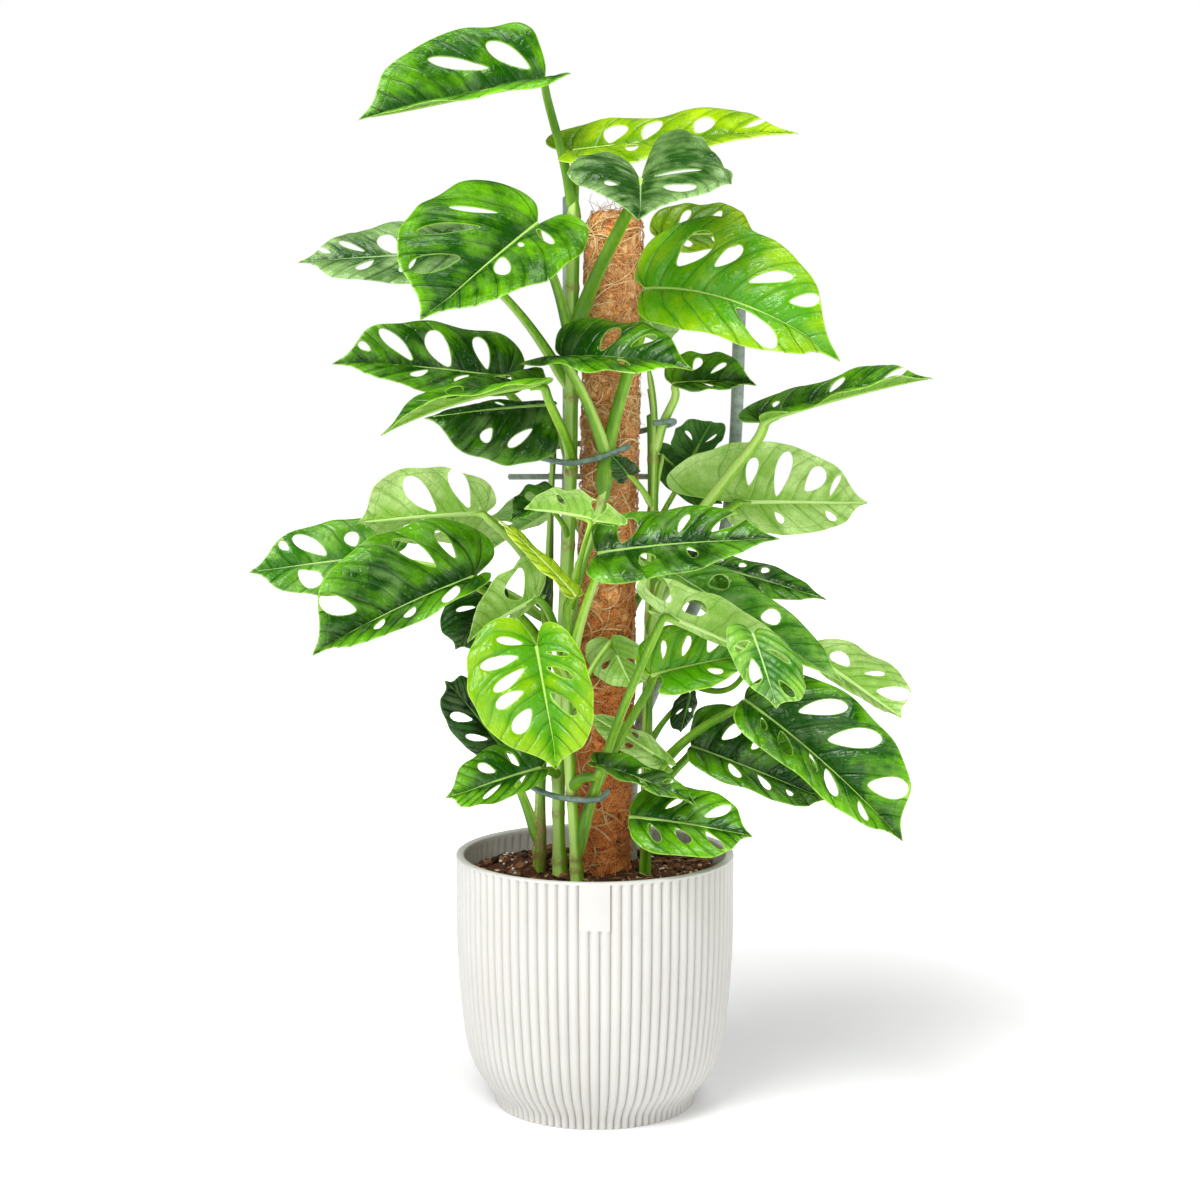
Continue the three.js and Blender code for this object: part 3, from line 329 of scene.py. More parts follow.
# Holes of the leaves seen best, left half then right half: share along the midrib, share across
# the half, half length and half width, and the lean from the midrib in degrees where it isn't
# that of the side veins.
HOLES = {
    "top_left": ([(0.3, 0.45, 9, 3), (0.55, 0.4, 9, 3)], [(0.15, 0.43, 14, 5, 46),
      (0.42, 0.45, 17, 3, 22)]),
    "top_right": ([(0.2, 0.31, 9, 6, 60), (0.36, 0.33, 10, 4, 60), (0.59, 0.31, 8, 5, 60),
      (0.82, 0.28, 7, 2, 30)], [(0.3, 0.45, 8, 3), (0.55, 0.42, 7, 3)]),
    "crown": ([(0.55, 0.42, 10, 4), (0.15, 0.4, 13, 2, 75)], [(0.5, 0.4, 4, 2)]),
    "upper_left": ([(0.45, 0.27, 11, 4.3, 45), (0.24, 0.17, 4.5, 1.5, 55),
      (0.11, 0.35, 12, 2.6, 61)], [(0.2, 0.54, 13, 2.2, 51), (0.42, 0.54, 17, 3.2, 38),
      (0.67, 0.35, 15, 5, 24)]),
    "far_upper_left": ([(0.35, 0.42, 8, 3), (0.6, 0.36, 7, 3)], [(0.46, 0.32, 8, 5),
      (0.68, 0.3, 8, 2, 30), (0.84, 0.22, 4, 1.5, 30)]),
    "upper_right": ([(0.2, 0.5, 13, 8, 56), (0.38, 0.5, 10, 4, 56), (0.61, 0.4, 13, 3, 31),
      (0.78, 0.35, 9, 3, 39)], [(0.6, 0.42, 15, 7, 34)]),
    "over_pole": ([(0.35, 0.43, 10, 4), (0.62, 0.4, 9, 2.5, 30)], [(0.5, 0.45, 7, 2.5)]),
    "mid_left": ([(0.25, 0.4, 8, 3), (0.5, 0.36, 8, 3)], [(0.13, 0.43, 10, 4, 75),
      (0.38, 0.4, 11, 6, 62), (0.64, 0.37, 12, 4, 40), (0.82, 0.28, 4, 2, 30)]),
    "mid_left_under": ([(0.3, 0.58, 9, 2.5, 30), (0.55, 0.5, 5, 3)], [(0.4, 0.45, 4, 1.5)]),
    "small_right": ([(0.3, 0.55, 5, 2.5), (0.57, 0.36, 6, 1.5, 30)], [(0.4, 0.45, 5, 2)]),
    "far_right_fold": ([(0.08, 0.4, 3, 2), (0.45, 0.45, 8, 2.5), (0.79, 0.28, 8, 3, 30)],
      [(0.3, 0.45, 6, 2), (0.6, 0.4, 6, 2)]),
    "right_pale": ([(0.3, 0.5, 4, 2), (0.7, 0.42, 4, 2)], [(0.14, 0.5, 9, 3),
      (0.37, 0.46, 14, 4, 71), (0.6, 0.37, 9, 4.5, 54), (0.76, 0.26, 7, 1.5, 60)]),
    "left_pale": ([(0.13, 0.52, 12, 5, 80), (0.45, 0.44, 12, 6, 59)], [(0.35, 0.45, 6, 3),
      (0.6, 0.4, 5, 2.5)]),
    "far_left": ([(0.25, 0.45, 6, 2.5), (0.57, 0.44, 9, 5, 140)], [(0.28, 0.44, 5, 4),
      (0.58, 0.4, 12, 4, 35), (0.76, 0.45, 4, 2)]),
    "left_big": ([(0.16, 0.56, 10, 5, 69), (0.41, 0.52, 5, 3.5), (0.6, 0.36, 5, 2.5)],
      [(0.05, 0.5, 9, 3, 88), (0.23, 0.55, 13, 5, 63), (0.75, 0.36, 10, 5, 46)]),
    "left_pale_fold": ([(0.26, 0.44, 10, 7)], [(0.4, 0.5, 4, 2)]),
    "heart": ([(0.06, 0.42, 7, 1.2, 86), (0.22, 0.4, 8, 2.2, 69), (0.47, 0.35, 9, 3.3, 49)],
      [(-0.04, 0.34, 7, 2.1, 100), (0.13, 0.53, 11, 3, 75), (0.28, 0.44, 11, 2.6, 55),
      (0.44, 0.47, 9, 2.8, 61), (0.61, 0.35, 8.5, 3.7, 40)]),
    "yellow_edge": ([], []),
    "centre_pale": ([(-0.08, 0.55, 5, 4, 90), (0.45, 0.45, 4, 1.5, 40)], []),
    "centre_dark": ([(0.4, 0.45, 3, 1.5)], [(0.43, 0.42, 5, 2.5, 40)]),
    "centre_right": ([(0.18, 0.44, 9, 5, 64), (0.5, 0.45, 7, 2), (0.74, 0.38, 11, 3, 25)],
      [(0.3, 0.47, 6, 4, 66), (0.55, 0.4, 6, 2)]),
    "right_back": ([(0.2, 0.45, 3, 2), (0.36, 0.48, 3, 2), (0.53, 0.44, 3, 2)],
      [(0.4, 0.45, 4, 1.5)]),
    "right_pale_fold": ([], [(-0.05, 0.48, 8, 6, 150), (0.2, 0.42, 8, 4, 30)]),
    "right_low_mid": ([(0.15, 0.46, 5, 1.5, 79), (0.36, 0.44, 6, 2), (0.62, 0.42, 7, 3.5, 56)],
      [(0.59, 0.42, 5, 2, 34)]),
    "right_bright": ([(0.25, 0.45, 6, 2), (0.7, 0.38, 5, 3, 40)], [(0.21, 0.5, 6, 2, 50),
      (0.55, 0.4, 8, 3, 10)]),
    "far_right_pale": ([], [(0.17, 0.34, 7, 4, 160), (0.45, 0.5, 5, 2), (0.72, 0.38, 8, 5.5, 46)]),
    "right_large": ([(0.26, 0.58, 12, 5, 60), (0.47, 0.54, 13, 6, 55), (0.75, 0.36, 10, 6, 45)],
      [(0.13, 0.34, 5, 2, 70), (0.27, 0.42, 9, 4, 60), (0.43, 0.34, 7, 2, 62),
      (0.55, 0.4, 9, 4, 57), (0.75, 0.34, 6, 3, 48)]),
    "right_large_back": ([(0.25, 0.5, 8, 3, 50), (0.42, 0.44, 4, 2)], [(0.3, 0.42, 6, 3, 60),
      (0.5, 0.42, 6, 3, 60), (0.68, 0.38, 2.5, 2)]),
    "low_right": ([(0.32, 0.44, 6, 2, 50), (0.68, 0.4, 8, 3, 40)], [(0.18, 0.42, 7, 3, 78),
      (0.42, 0.44, 6, 4, 61), (0.68, 0.4, 7, 3, 53)]),
    "low_right_fold": ([(0.4, 0.45, 5, 2, 60), (0.65, 0.4, 4, 1.5)], [(0.44, 0.5, 4, 2)]),
    "low_left_dark": ([(0.26, 0.48, 6, 2.5, 59), (0.54, 0.46, 6, 3.5, 55)], [(0.4, 0.45, 5, 2)]),
    "low_left": ([(0.18, 0.44, 5, 2), (0.48, 0.46, 6, 2.5, 46)], [(0.25, 0.44, 6, 2),
      (0.53, 0.42, 6, 2.5, 45)]),
    "small_front": ([], []),
}


# ---------------------------------------------------------------- meshes


def show(name, data):
    """Puts a mesh, a light or a camera into the scene."""
    thing = bpy.data.objects.new(name, data)
    bpy.context.scene.collection.objects.link(thing)
    return thing


class Shape:
    """Points, faces and values at the points, gathered bit by bit and then made into a piece."""

    def __init__(self):
        self.points, self.faces, self.looks, self.values = [], [], [], []
        self.count = 0

    def add_faces(self, faces, look):
        self.faces += faces.tolist()
        self.looks += [look] * len(faces)

    def add(self, points, face_groups, look=0, **values):
        for faces in face_groups:
            self.add_faces(faces + self.count, look)
        self.points.append(np.asarray(points, float))
        self.values.append((len(points), values))
        self.count += len(points)

    def piece(self, name, looks, stands_for, crease=None):
        mesh = bpy.data.meshes.new(name)
        mesh.from_pydata(np.concatenate(self.points) * MM, [], self.faces)
        for key in sorted({key for _, values in self.values for key in values}):
            whole = [np.broadcast_to(np.asarray(values.get(key, 0), float), count)
                     for count, values in self.values]
            spots = mesh.attributes.new(key, "FLOAT", "POINT")
            spots.data.foreach_set("value", np.concatenate(whole))
        mesh.polygons.foreach_set("material_index", self.looks)
        for look in looks:
            mesh.materials.append(look.material)
        mesh.shade_smooth()
        if crease:
            mesh.set_sharp_from_angle(angle=radians(crease))
        mesh.validate()
        thing = show(name, mesh)
        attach(thing, "root")
        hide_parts(stands_for)


def unit(vectors):
    return vectors / np.maximum(norm(vectors, axis=-1, keepdims=True), 1e-9)


def smoothstep(value, low, high):
    share = np.clip((np.asarray(value, float) - low) / (high - low), 0, 1)
    return share * share * (3 - 2 * share)


def full_turn(count):
    return np.linspace(0, 2 * pi, count, endpoint=False)


def any_turn():
    return RANDOM.uniform(0, 2 * pi)


def closed_faces(rows, columns):
    """Faces of a closed skin: rings of points, then the end point before them and the one after."""
    side = np.arange(columns)
    beside = (side + 1) % columns
    start = np.arange(rows - 1)[:, None] * columns
    quads = np.stack([start + side, start + beside, start + columns + beside,
                      start + columns + side], axis=-1)
    last = rows * columns
    foot = np.stack([beside, side, np.full(columns, last)], axis=1)
    head = np.stack([side, beside, np.full(columns, columns + 1)], axis=1) + last - columns
    return [quads.reshape(-1, 4), foot, head]


def tube(path, radii, sides, flat=1.0):
    """Points and faces of a round bar along a path, with domed ends. flat squeezes its section."""
    path = np.asarray(path, float)
    radii = np.broadcast_to(np.asarray(radii, float), len(path))
    tangents = unit(np.gradient(path, axis=0))
    helper = (0, 0, 1.0) if abs(tangents[0][2]) < 0.9 else (1.0, 0, 0)
    normal = unit(np.cross(tangents[0], helper))
    normals = []
    for tangent in tangents:
        normal = unit(normal - tangent * np.dot(normal, tangent))
        normals.append(normal)
    normals = np.array(normals)
    others = np.cross(tangents, normals)
    turns = full_turn(sides)[None, :, None]
    spokes = normals[:, None] * np.cos(turns) * flat + others[:, None] * np.sin(turns)
    rings = path[:, None] + radii[:, None, None] * spokes
    ends = [path[0] - tangents[0] * radii[0] * 0.5, path[-1] + tangents[-1] * radii[-1] * 0.5]
    return np.concatenate([rings.reshape(-1, 3), ends]), closed_faces(len(path), sides)


def per_ring(values, sides):
    """Spreads values of a path's points over a tube's points."""
    return np.concatenate([np.repeat(values, sides), values[[0, -1]]])


def per_side(rings, sides, start):
    """Goes from -1 to 1 and back round each ring of a tube; start turns it."""
    return np.concatenate([np.tile(np.cos(full_turn(sides) + start), rings), [0, 0]])


def hermite(start, end, lead, tail, share):
    """A curve from start to end with the slopes lead and tail there."""
    return ((2 * share**3 - 3 * share**2 + 1) * start + (share**3 - 2 * share**2 + share) * lead
            + (3 * share**2 - 2 * share**3) * end + (share**3 - share**2) * tail)


def smooth_line(points, steps):
    """A centripetal Catmull-Rom curve through the points, with that many steps a stretch."""
    points = np.asarray(points, float)
    padded = np.concatenate([[2 * points[0] - points[1]], points, [2 * points[-1] - points[-2]]])
    line = []
    share = np.linspace(0, 1, steps, endpoint=False)[:, None]
    for p0, p1, p2, p3 in zip(padded, padded[1:], padded[2:], padded[3:]):
        gaps = [sqrt(max(norm(b - a), 1e-6))
                for a, b in ((p0, p1), (p1, p2), (p2, p3))]
        chord = (p2 - p1) / gaps[1]
        lead = ((p1 - p0) / gaps[0] - (p2 - p0) / (gaps[0] + gaps[1]) + chord) * gaps[1]
        tail = (chord - (p3 - p1) / (gaps[1] + gaps[2]) + (p3 - p2) / gaps[2]) * gaps[1]
        line.append(hermite(p1, p2, lead, tail, share))
    return np.concatenate(line + [points[-1:]])


def bezier(start, first, second, end, steps):
    share = np.linspace(0, 1, steps + 1)[:, None]
    rest = 1 - share
    return (rest**3 * start + 3 * rest**2 * share * first + 3 * rest * share**2 * second
            + share**3 * end)


def uneven(point, size, seed=0):
    """Smooth noise from -1 to 1 that changes over about size millimetres."""
    return relief.noise(Vector(point) / size + Vector((seed * 17.3, seed * 5.1, seed * 9.7)))


# ---------------------------------------------------------------- materials


def linear(colour):
    """A six-digit sRGB colour as the linear colour that nodes take."""
    parts = [int(colour[i:i + 2], 16) / 255 for i in (0, 2, 4)]
    return (*(c / 12.92 if c <= 0.04045 else ((c + 0.055) / 1.055) ** 2.4 for c in parts), 1.0)


class Look:
    """A material: a Principled shader and the nodes that feed it."""

    def __init__(self, name, **constants):
        self.material = bpy.data.materials.new(name)
        self.material.use_nodes = True
        self.tree = self.material.node_tree
        self.tree.nodes.clear()
        self.shader = self.tree.nodes.new("ShaderNodeBsdfPrincipled")
        output = self.tree.nodes.new("ShaderNodeOutputMaterial")
        self.tree.links.new(self.shader.outputs[0], output.inputs["Surface"])
        for key, value in constants.items():
            self.shader.inputs[key.replace("_", " ")].default_value = value

    def feed(self, socket, value):
        if isinstance(value, bpy.types.NodeSocket):
            self.tree.links.new(value, socket)
        elif value is not None:
            socket.default_value = value

    def set(self, key, value):
        self.feed(self.shader.inputs[key], value)

    def skin(self, colour, roughness, normal):
        for key, value in (("Base Color", colour), ("Roughness", roughness), ("Normal", normal)):
            self.set(key, value)

    def node(self, kind, inputs, output=0, **settings):
        made = self.tree.nodes.new(kind)
        for key, value in settings.items():
            setattr(made, key, value)
        for key, value in inputs.items():
            self.feed(made.inputs[key], value)
        return made.outputs[output]

    def value(self, name):
        return self.node("ShaderNodeAttribute", {}, "Fac", attribute_name=name)

    def place(self):
        return self.node("ShaderNodeTexCoord", {}, "Object")

    def moved(self, place, offset):
        return self.node("ShaderNodeVectorMath", {0: place, 1: offset}, operation="ADD")

    def math(self, operation, first, *others):
        return self.node("ShaderNodeMath", dict(enumerate((first, *others))), operation=operation)

    def chain(self, operation, first, *others):
        for other in others:
            first = self.math(operation, first, other)
        return first

    def plus(self, *values):
        return self.chain("ADD", *values)

    def times(self, *values):
        return self.chain("MULTIPLY", *values)

    def from_half(self, value):
        """How far a value is from 0.5."""
        return self.math("ABSOLUTE", self.math("SUBTRACT", value, 0.5))

    def noise(self, size, detail=3.0, roughness=0.5, place=None, stretch=None):
        """Noise from 0 to 1 that changes over about size millimetres; stretch squeezes the axes."""
        place = place or self.place()
        if stretch:
            place = self.node("ShaderNodeMapping", {"Vector": place, "Scale": stretch})
        return self.node("ShaderNodeTexNoise", {"Vector": place, "Scale": 1 / (size * MM),
                                                "Detail": detail, "Roughness": roughness}, "Fac")

    def cells(self, size):
        """Distance to the walls of a net of cells about size millimetres across."""
        return self.node("ShaderNodeTexVoronoi", {"Vector": self.place(), "Scale": 1 / (size * MM)},
                         "Distance", feature="DISTANCE_TO_EDGE")

    def step(self, value, low, high, start=0.0, end=1.0):
        """Goes smoothly from start to end as value goes from low to high."""
        return self.node("ShaderNodeMapRange",
                         {"Value": value, "From Min": low, "From Max": high, "To Min": start,
                          "To Max": end}, interpolation_type="SMOOTHSTEP")

    def mix(self, factor, first, second):
        made = self.tree.nodes.new("ShaderNodeMix")
        made.data_type = "RGBA"
        self.feed(made.inputs["Factor"], factor)
        for key, value in ((6, first), (7, second)):
            self.feed(made.inputs[key], linear(value) if isinstance(value, str) else value)
        return made.outputs[2]

    def ramp(self, value, *stops):
        made = self.tree.nodes.new("ShaderNodeValToRGB")
        elements = made.color_ramp.elements
        while len(elements) < len(stops):
            elements.new(0.5)
        for element, (position, colour) in zip(elements, stops):
            element.position = position
            element.color = linear(colour)
        self.feed(made.inputs[0], value)
        return made.outputs[0]

    def bump(self, height, depth, strength=1.0, normal=None):
        """Relief as deep as depth millimetres where height goes from 0 to 1."""
        return self.node("ShaderNodeBump", {"Height": height, "Distance": depth * MM,
                                            "Strength": strength, "Normal": normal})


def leaf_look(tone, top):
    """One side of a leaf, from the blade's own coordinates."""
    top_dark, top_light, under_dark, under_light, vein_colour, bloom_and_sheen = TONES[tone]
    dark, light = (top_dark, top_light) if top else (under_dark, under_light)
    look = Look(f"leaf_{tone}_{'top' if top else 'under'}", IOR=1.45,
                Specular_IOR_Level=0.33 if top else 0.2)
    root, across, margin = look.value("root"), look.value("rib"), look.value("margin")
    from_rib = look.math("ABSOLUTE", across)
    from_middle = look.from_half(look.math("FRACT", look.value("vein")))
    from_vein = look.times(look.math("SUBTRACT", 0.5, from_middle), look.value("gap"))
    vein = look.step(from_vein, 0.08, 0.42, 1.0, 0.0)
    rib = look.step(from_rib, 0.35, 0.9, 1.0, 0.0)
    rim = look.step(look.value("edge"), 0.15, 0.7, 1.0, 0.0)
    # The vein that runs along the margin
    wander = look.step(look.noise(14), 0.3, 0.7, MARGIN_VEIN - 1, MARGIN_VEIN + 1.4)
    from_margin = look.math("ABSOLUTE", look.math("SUBTRACT", margin, wander))
    vein = look.math("MAXIMUM", vein, look.step(from_margin, 0.12, 0.6, 0.55, 0.0))
    # Patches, grain and streaks along the side veins; painted shade in the grooves beside the veins
    # and in the fold along the rib, lighter margins
    run = look.node("ShaderNodeCombineXYZ", {"X": look.times(root, GRAIN_ALONG),
                                             "Y": look.times(across, GRAIN_ACROSS)})
    grain = look.noise(1.1, 3.0, place=run)
    tint = look.value("shift")
    for part, share in ((look.noise(30, 2.0), 1.5), (look.noise(6, 2.0, place=run), 0.55),
                        (look.noise(6, 3.0), 0.4), (grain, 0.35),
                        (look.step(from_vein, 0.2, 4.0, 1.0, 0.0), -0.07)):
        tint = look.math("MULTIPLY_ADD", part, share, tint)
    tint = look.plus(tint, look.step(margin, 0.0, 15.0, 0.2, 0.0))
    # Painted shade in the fold along the midrib
    tint = look.math("MULTIPLY_ADD", look.step(from_rib, 0.5, 11.0, 1.0, 0.0), -0.25, tint)
    colour = look.ramp(look.math("SUBTRACT", tint, 1.03), (0.2, dark), (0.86, light))
    if top:
        # Painted sheen and some pale waxy bloom: milky streaks of reflection painted into the top's
        # colour
        sheen_glaze = look.noise(8, 3.0, 0.55, place=look.moved(run, (0.3, 0.7, 0.2)))
        patches = look.step(look.noise(16, 2.0), 0.38, 0.6, 0.0, bloom_and_sheen)
        colour = look.mix(look.times(look.step(sheen_glaze, 0.4, 0.75), patches), colour, BLOOM_AND_SHEEN)
    else:
        colour = look.mix(look.step(look.cells(4.5), 0.0, 0.09, 0.18, 0.0), colour, top_dark)
    colour = look.mix(look.times(vein, 0.35 if top else 0.5), colour, top_dark)
    colour = look.mix(look.times(rib, 0.28 if top else 0.75), colour,
                      vein_colour if top else light)
    colour = look.mix(look.times(rim, 0.5), colour, vein_colour)
    if tone == "yellow":
        colour = look.mix(look.step(look.noise(3.2, 2.0), 0.66, 0.72), colour, LEAF_SPOT)
    # Veins, then puckers between them, then fine grain
    height = look.plus(look.times(vein, -1.0 if top else 1.2),
                       look.times(rib, -1.2 if top else 1.5))
    pucker = look.math("MULTIPLY_ADD", look.step(look.cells(6), 0.0, 0.25), 0.2,
                       look.noise(3.4, 3.0, place=run))
    pucker = look.times(pucker, look.step(from_vein, 0.0, 2.0))
    normal = look.bump(pucker, 1.1, 0.8, look.bump(height, 0.25))
    rough = look.step(look.noise(11, 3.0), 0.35, 0.65, *((0.12, 0.3) if top else (0.42, 0.55)))
    look.skin(colour, rough, look.bump(grain, 0.08, 0.6, normal))
    return look


def stem_look():
    """Green bark: deeper on the vines, yellow-green on the stalks, brown at the joints."""
    look = Look("stem", IOR=1.45)
    joint, turn = look.value("joint"), look.value("turn")
    streaks = look.noise(1.6, 3.0, stretch=(1, 1, 0.12))
    shade = look.plus(look.times(streaks, 0.5), look.times(look.noise(22, 3.0), 0.6))
    old = look.ramp(shade, (0.3, "2e6a04"), (0.8, "70a81c"))
    new = look.ramp(shade, (0.3, "448804"), (0.85, "9cca28"))
    colour = look.mix(look.value("young"), old, new)
    # A pale stripe down one side, partly the stalk's own pale line and partly painted highlight, and
    # painted shade down the opposite side
    colour = look.mix(look.step(turn, 0.45, 0.8, 0.0, 0.55), colour, "ccec84")
    colour = look.mix(look.step(turn, -0.7, -0.2, 0.55, 0.0), colour, "2c6400")
    specks = look.step(look.noise(1.3, 2.0), 0.7, 0.76)
    colour = look.mix(look.times(specks, 0.35), colour, "c9d79a")
    colour = look.mix(look.times(joint, look.step(look.noise(3, 4.0), 0.3, 0.6)), colour, "8a7440")
    height = look.plus(streaks, look.times(joint, look.noise(2, 3.0)))
    look.skin(colour, look.step(streaks, 0.3, 0.7, 0.32, 0.5), look.bump(height, 0.3))
    return look


def coir_look():
    """Coconut fibre. lift goes from 0 in the mat to 1 on the strands that lie on top."""
    look = Look("coir", IOR=1.4, Sheen_Weight=0.6, Sheen_Roughness=0.5,
                Sheen_Tint=(1.0, 0.6, 0.3, 1.0))
    lift = look.value("lift")
    fibre = look.noise(1.2, 5.0, 0.7, stretch=(1, 1, 1.6))

    def threads(size, width, aside):
        """Thin curling lines: where smooth noise crosses its middle value."""
        level = look.noise(size, 1.0, 0.4,
                           place=look.moved(look.place(), (aside, aside / 2, aside / 3)))
        return look.step(look.from_half(level), 0.3 * width, width, 1.0, 0.0)

    pale = look.math("MAXIMUM", threads(3.4, 0.03, 0.1), threads(5, 0.022, 0.3))
    # Dark threads in the mat: painted shade in the gaps between the fibres
    deep = look.math("MAXIMUM", threads(2.6, 0.05, 0.6), threads(4.2, 0.035, 0.8))
    deep = look.times(deep, 0.65)
    shade = look.plus(look.times(fibre, 0.8), look.times(look.noise(24, 3.0), 0.3),
                      look.times(lift, 0.5))
    # Painted light and shade: the fibre is lighter towards the top of the pole and darker lower
    # down, where the leaves shade it
    height = look.node("ShaderNodeSeparateXYZ", {0: look.place()}, "Z")
    shade = look.plus(shade, look.step(height, 0.2, 0.5, -0.1, 0.14))
    colour = look.ramp(shade, (0.2, "6c2808"), (0.36, "f06a1a"), (0.58, "ff963c"), (1.0, "ffdca0"))
    mat = look.step(lift, 0.1, 0.3, 1.0, 0.0)
    # Painted shade of the gaps, laid on the mat
    colour = look.mix(look.times(mat, deep), colour, "481804")
    colour = look.mix(look.times(pale, 0.85, mat), colour, "ffc884")
    relief_height = look.plus(fibre, look.math("SUBTRACT", pale, deep))
    look.skin(colour, look.step(fibre, 0.2, 0.8, 0.7, 0.95), look.bump(relief_height, 0.4))
    return look


def soil_look():
    """Damp potting soil."""
    look = Look("soil", IOR=1.4)
    grain = look.noise(1.5, 5.0, 0.7)
    shade = look.plus(look.times(grain, 0.7), look.times(look.noise(16, 3.0), 0.25),
                      look.value("shade"))
    colour = look.ramp(shade, (0.22, "130a05"), (0.45, "4a2c18"), (0.7, "8a5a38"), (1.0, "dcb488"))
    look.skin(colour, look.step(grain, 0.3, 0.7, 0.75, 1.0), look.bump(grain, 1.2))
    return look


def perlite_look():
    look = Look("perlite", IOR=1.4)
    pits = look.noise(0.9, 4.0, 0.6)
    look.skin(look.ramp(pits, (0.3, "b9ad9c"), (0.6, "f1ede4")),
              look.step(pits, 0.2, 0.8, 0.7, 0.9), look.bump(pits, 0.5))
    return look


def pot_look():
    """Matt moulded plastic, warm white, with painted shade in the grooves."""
    look = Look("pot", IOR=1.46)
    colour = look.ramp(look.noise(60, 3.0), (0.3, "c6c4c0"), (0.7, "cecdc9"))
    # Painted shade in the grooves, faintly mottled
    groove_shade = look.step(look.noise(7, 5.0, 0.65), 0.45, 0.75)
    groove_shade = look.times(look.value("groove"), look.step(groove_shade, 0.0, 1.0, 0.5, 0.6))
    rough = look.step(look.noise(12, 3.0), 0.3, 0.7, 0.42, 0.52)
    look.skin(look.mix(groove_shade, colour, "aca79e"), rough, look.bump(look.noise(0.5, 2.0), 0.03, 0.4))
    return look


def wire_look(name, dark, light):
    """Plastic-coated wire, scuffed along its length."""
    look = Look(name, IOR=1.46)
    wear = look.noise(4, 5.0, 0.6)
    look.skin(look.ramp(wear, (0.35, dark), (0.75, light)), look.step(wear, 0.3, 0.7, 0.35, 0.55),
              look.bump(look.noise(1.2, 3.0), 0.12))
    return look


def stake_look():
    look = Look("stake_wood", IOR=1.45)
    rings = look.noise(1.5, 4.0, stretch=(1, 1, 0.06))
    look.skin(look.ramp(rings, (0.3, "7c5b38"), (0.7, "b08c5e")),
              look.step(rings, 0.3, 0.7, 0.65, 0.8), look.bump(rings, 0.3))
    return look


# ---------------------------------------------------------------- pot, soil, pole


def build_pot():
    around = RIB_COUNT * RIB_STEPS
    turns = -pi / 2 + 2 * pi * (np.arange(around) + 0.5 * RIB_STEPS) / around
    ribs = (np.arange(around) + 0.5 * RIB_STEPS) / RIB_STEPS  # half a rib from the front rib
    from_front = np.minimum(ribs, RIB_COUNT - ribs)
    from_crest = np.abs((from_front + 0.5) % 1 - 0.5) * 2
    cut = (1 - np.sqrt(1 - 0.9 * from_crest**2)) / (1 - sqrt(0.1))
    profile = smooth_line([(radius, 0, z) for radius, z in POT_PROFILE], 9)
    rows, groove = [], []

    def ring(radius, z, depth, sign=-1):
        reach = radius + sign * depth
        rows.append(np.stack([reach * np.cos(turns), reach * np.sin(turns), np.full(around, z)], 1))
        groove.append(depth)

    on_pad = from_front < PAD_RIBS
    heights = [profile[:, 2], np.linspace(PAD_FOOT - 3, PAD_FOOT + 1, 7),
               np.linspace(RIB_TOP - 3, RIB_TOP, 6)]
    for z in np.unique(np.concatenate(heights)):
        pad_fade = np.where(on_pad, 1 - smoothstep(z, PAD_FOOT - 1.5, PAD_FOOT), 1)
        top_fade = 1 - smoothstep(z, RIB_TOP - 1.6, RIB_TOP)
        ring(np.interp(z, profile[:, 2], profile[:, 0]), z, RIB_DEPTH * cut * pad_fade * top_fade)
    flat = np.zeros(around)
    for bend in np.linspace(0, pi, 9):
        lift = POT_HEIGHT - LIP_RADIUS + LIP_RADIUS * sin(bend)
        ring(POT_RADIUS - POT_WALL / 2 + POT_WALL / 2 * cos(bend), lift, flat)
    for z, depth in INNER_RIB_ENDS:
        ring(POT_RADIUS - POT_WALL, z, depth * cut, 1)
    for radius, z in POT_INSIDE:
        ring(radius, z, flat)
    points = np.concatenate(rows + [[[0, 0, 0], [0, 0, POT_FLOOR]]])
    pot = Shape()
    pot.add(points, closed_faces(len(rows), around),
            groove=np.concatenate([g / RIB_DEPTH for g in groove] + [[0, 0]]))
    pot.piece("pot_body", [pot_look()], "pot", crease=60)


def soil_height(x, y):
    reach = hypot(x, y) / POT_RADIUS
    lumps = 1.3 * sin(x * 0.13 + 1) * cos(y * 0.15) + 0.9 * sin(x * 0.31 - y * 0.27)
    shoulder = 3 * exp(-((x + 45) ** 2 + (y - 25) ** 2) / 900)
    crumbs = 1.5 * uneven((x, y, 0), 5, 1) + 0.9 * uneven((x, y, 0), 2.2, 2)
    mound = SOIL_MOUND * max(0, 1 - reach) ** 1.2
    return SOIL_LEVEL + mound + lumps * (1 - 0.6 * reach) + shoulder + crumbs


def crumb(size, stretch, sides=3):
    """A rough lump: a ball of few faces, pushed in and out."""
    columns = sides + 3
    ball = np.array([(cos(a) * cos(b), cos(a) * sin(b), sin(a))
                     for a in np.linspace(-1.2, 1.2, sides + 2)[1:-1] for b in full_turn(columns)])
    ball = np.concatenate([ball, [[0, 0, -1], [0, 0, 1]]])
    ball *= 1 + RANDOM.uniform(-0.25, 0.25, (len(ball), 1))
    ball *= size * np.asarray(stretch)
    turn, tip = any_turn(), RANDOM.uniform(-0.6, 0.6)
    about_z = np.array([[cos(turn), -sin(turn), 0],
                        [sin(turn), cos(turn), 0], [0, 0, 1]])
    about_x = np.array([[1, 0, 0], [0, cos(tip), -sin(tip)],
                        [0, sin(tip), cos(tip)]])
    return ball @ (about_z @ about_x).T, closed_faces(sides, columns)


def soil_spot():
    """A random place on the soil that is clear of the pole."""
    while True:
        reach, turn = SOIL_REACH * sqrt(RANDOM.random()), any_turn()
        x, y = reach * cos(turn), reach * sin(turn)
        if hypot(x - 5, y) > POLE_RADIUS + 2:
            return x, y


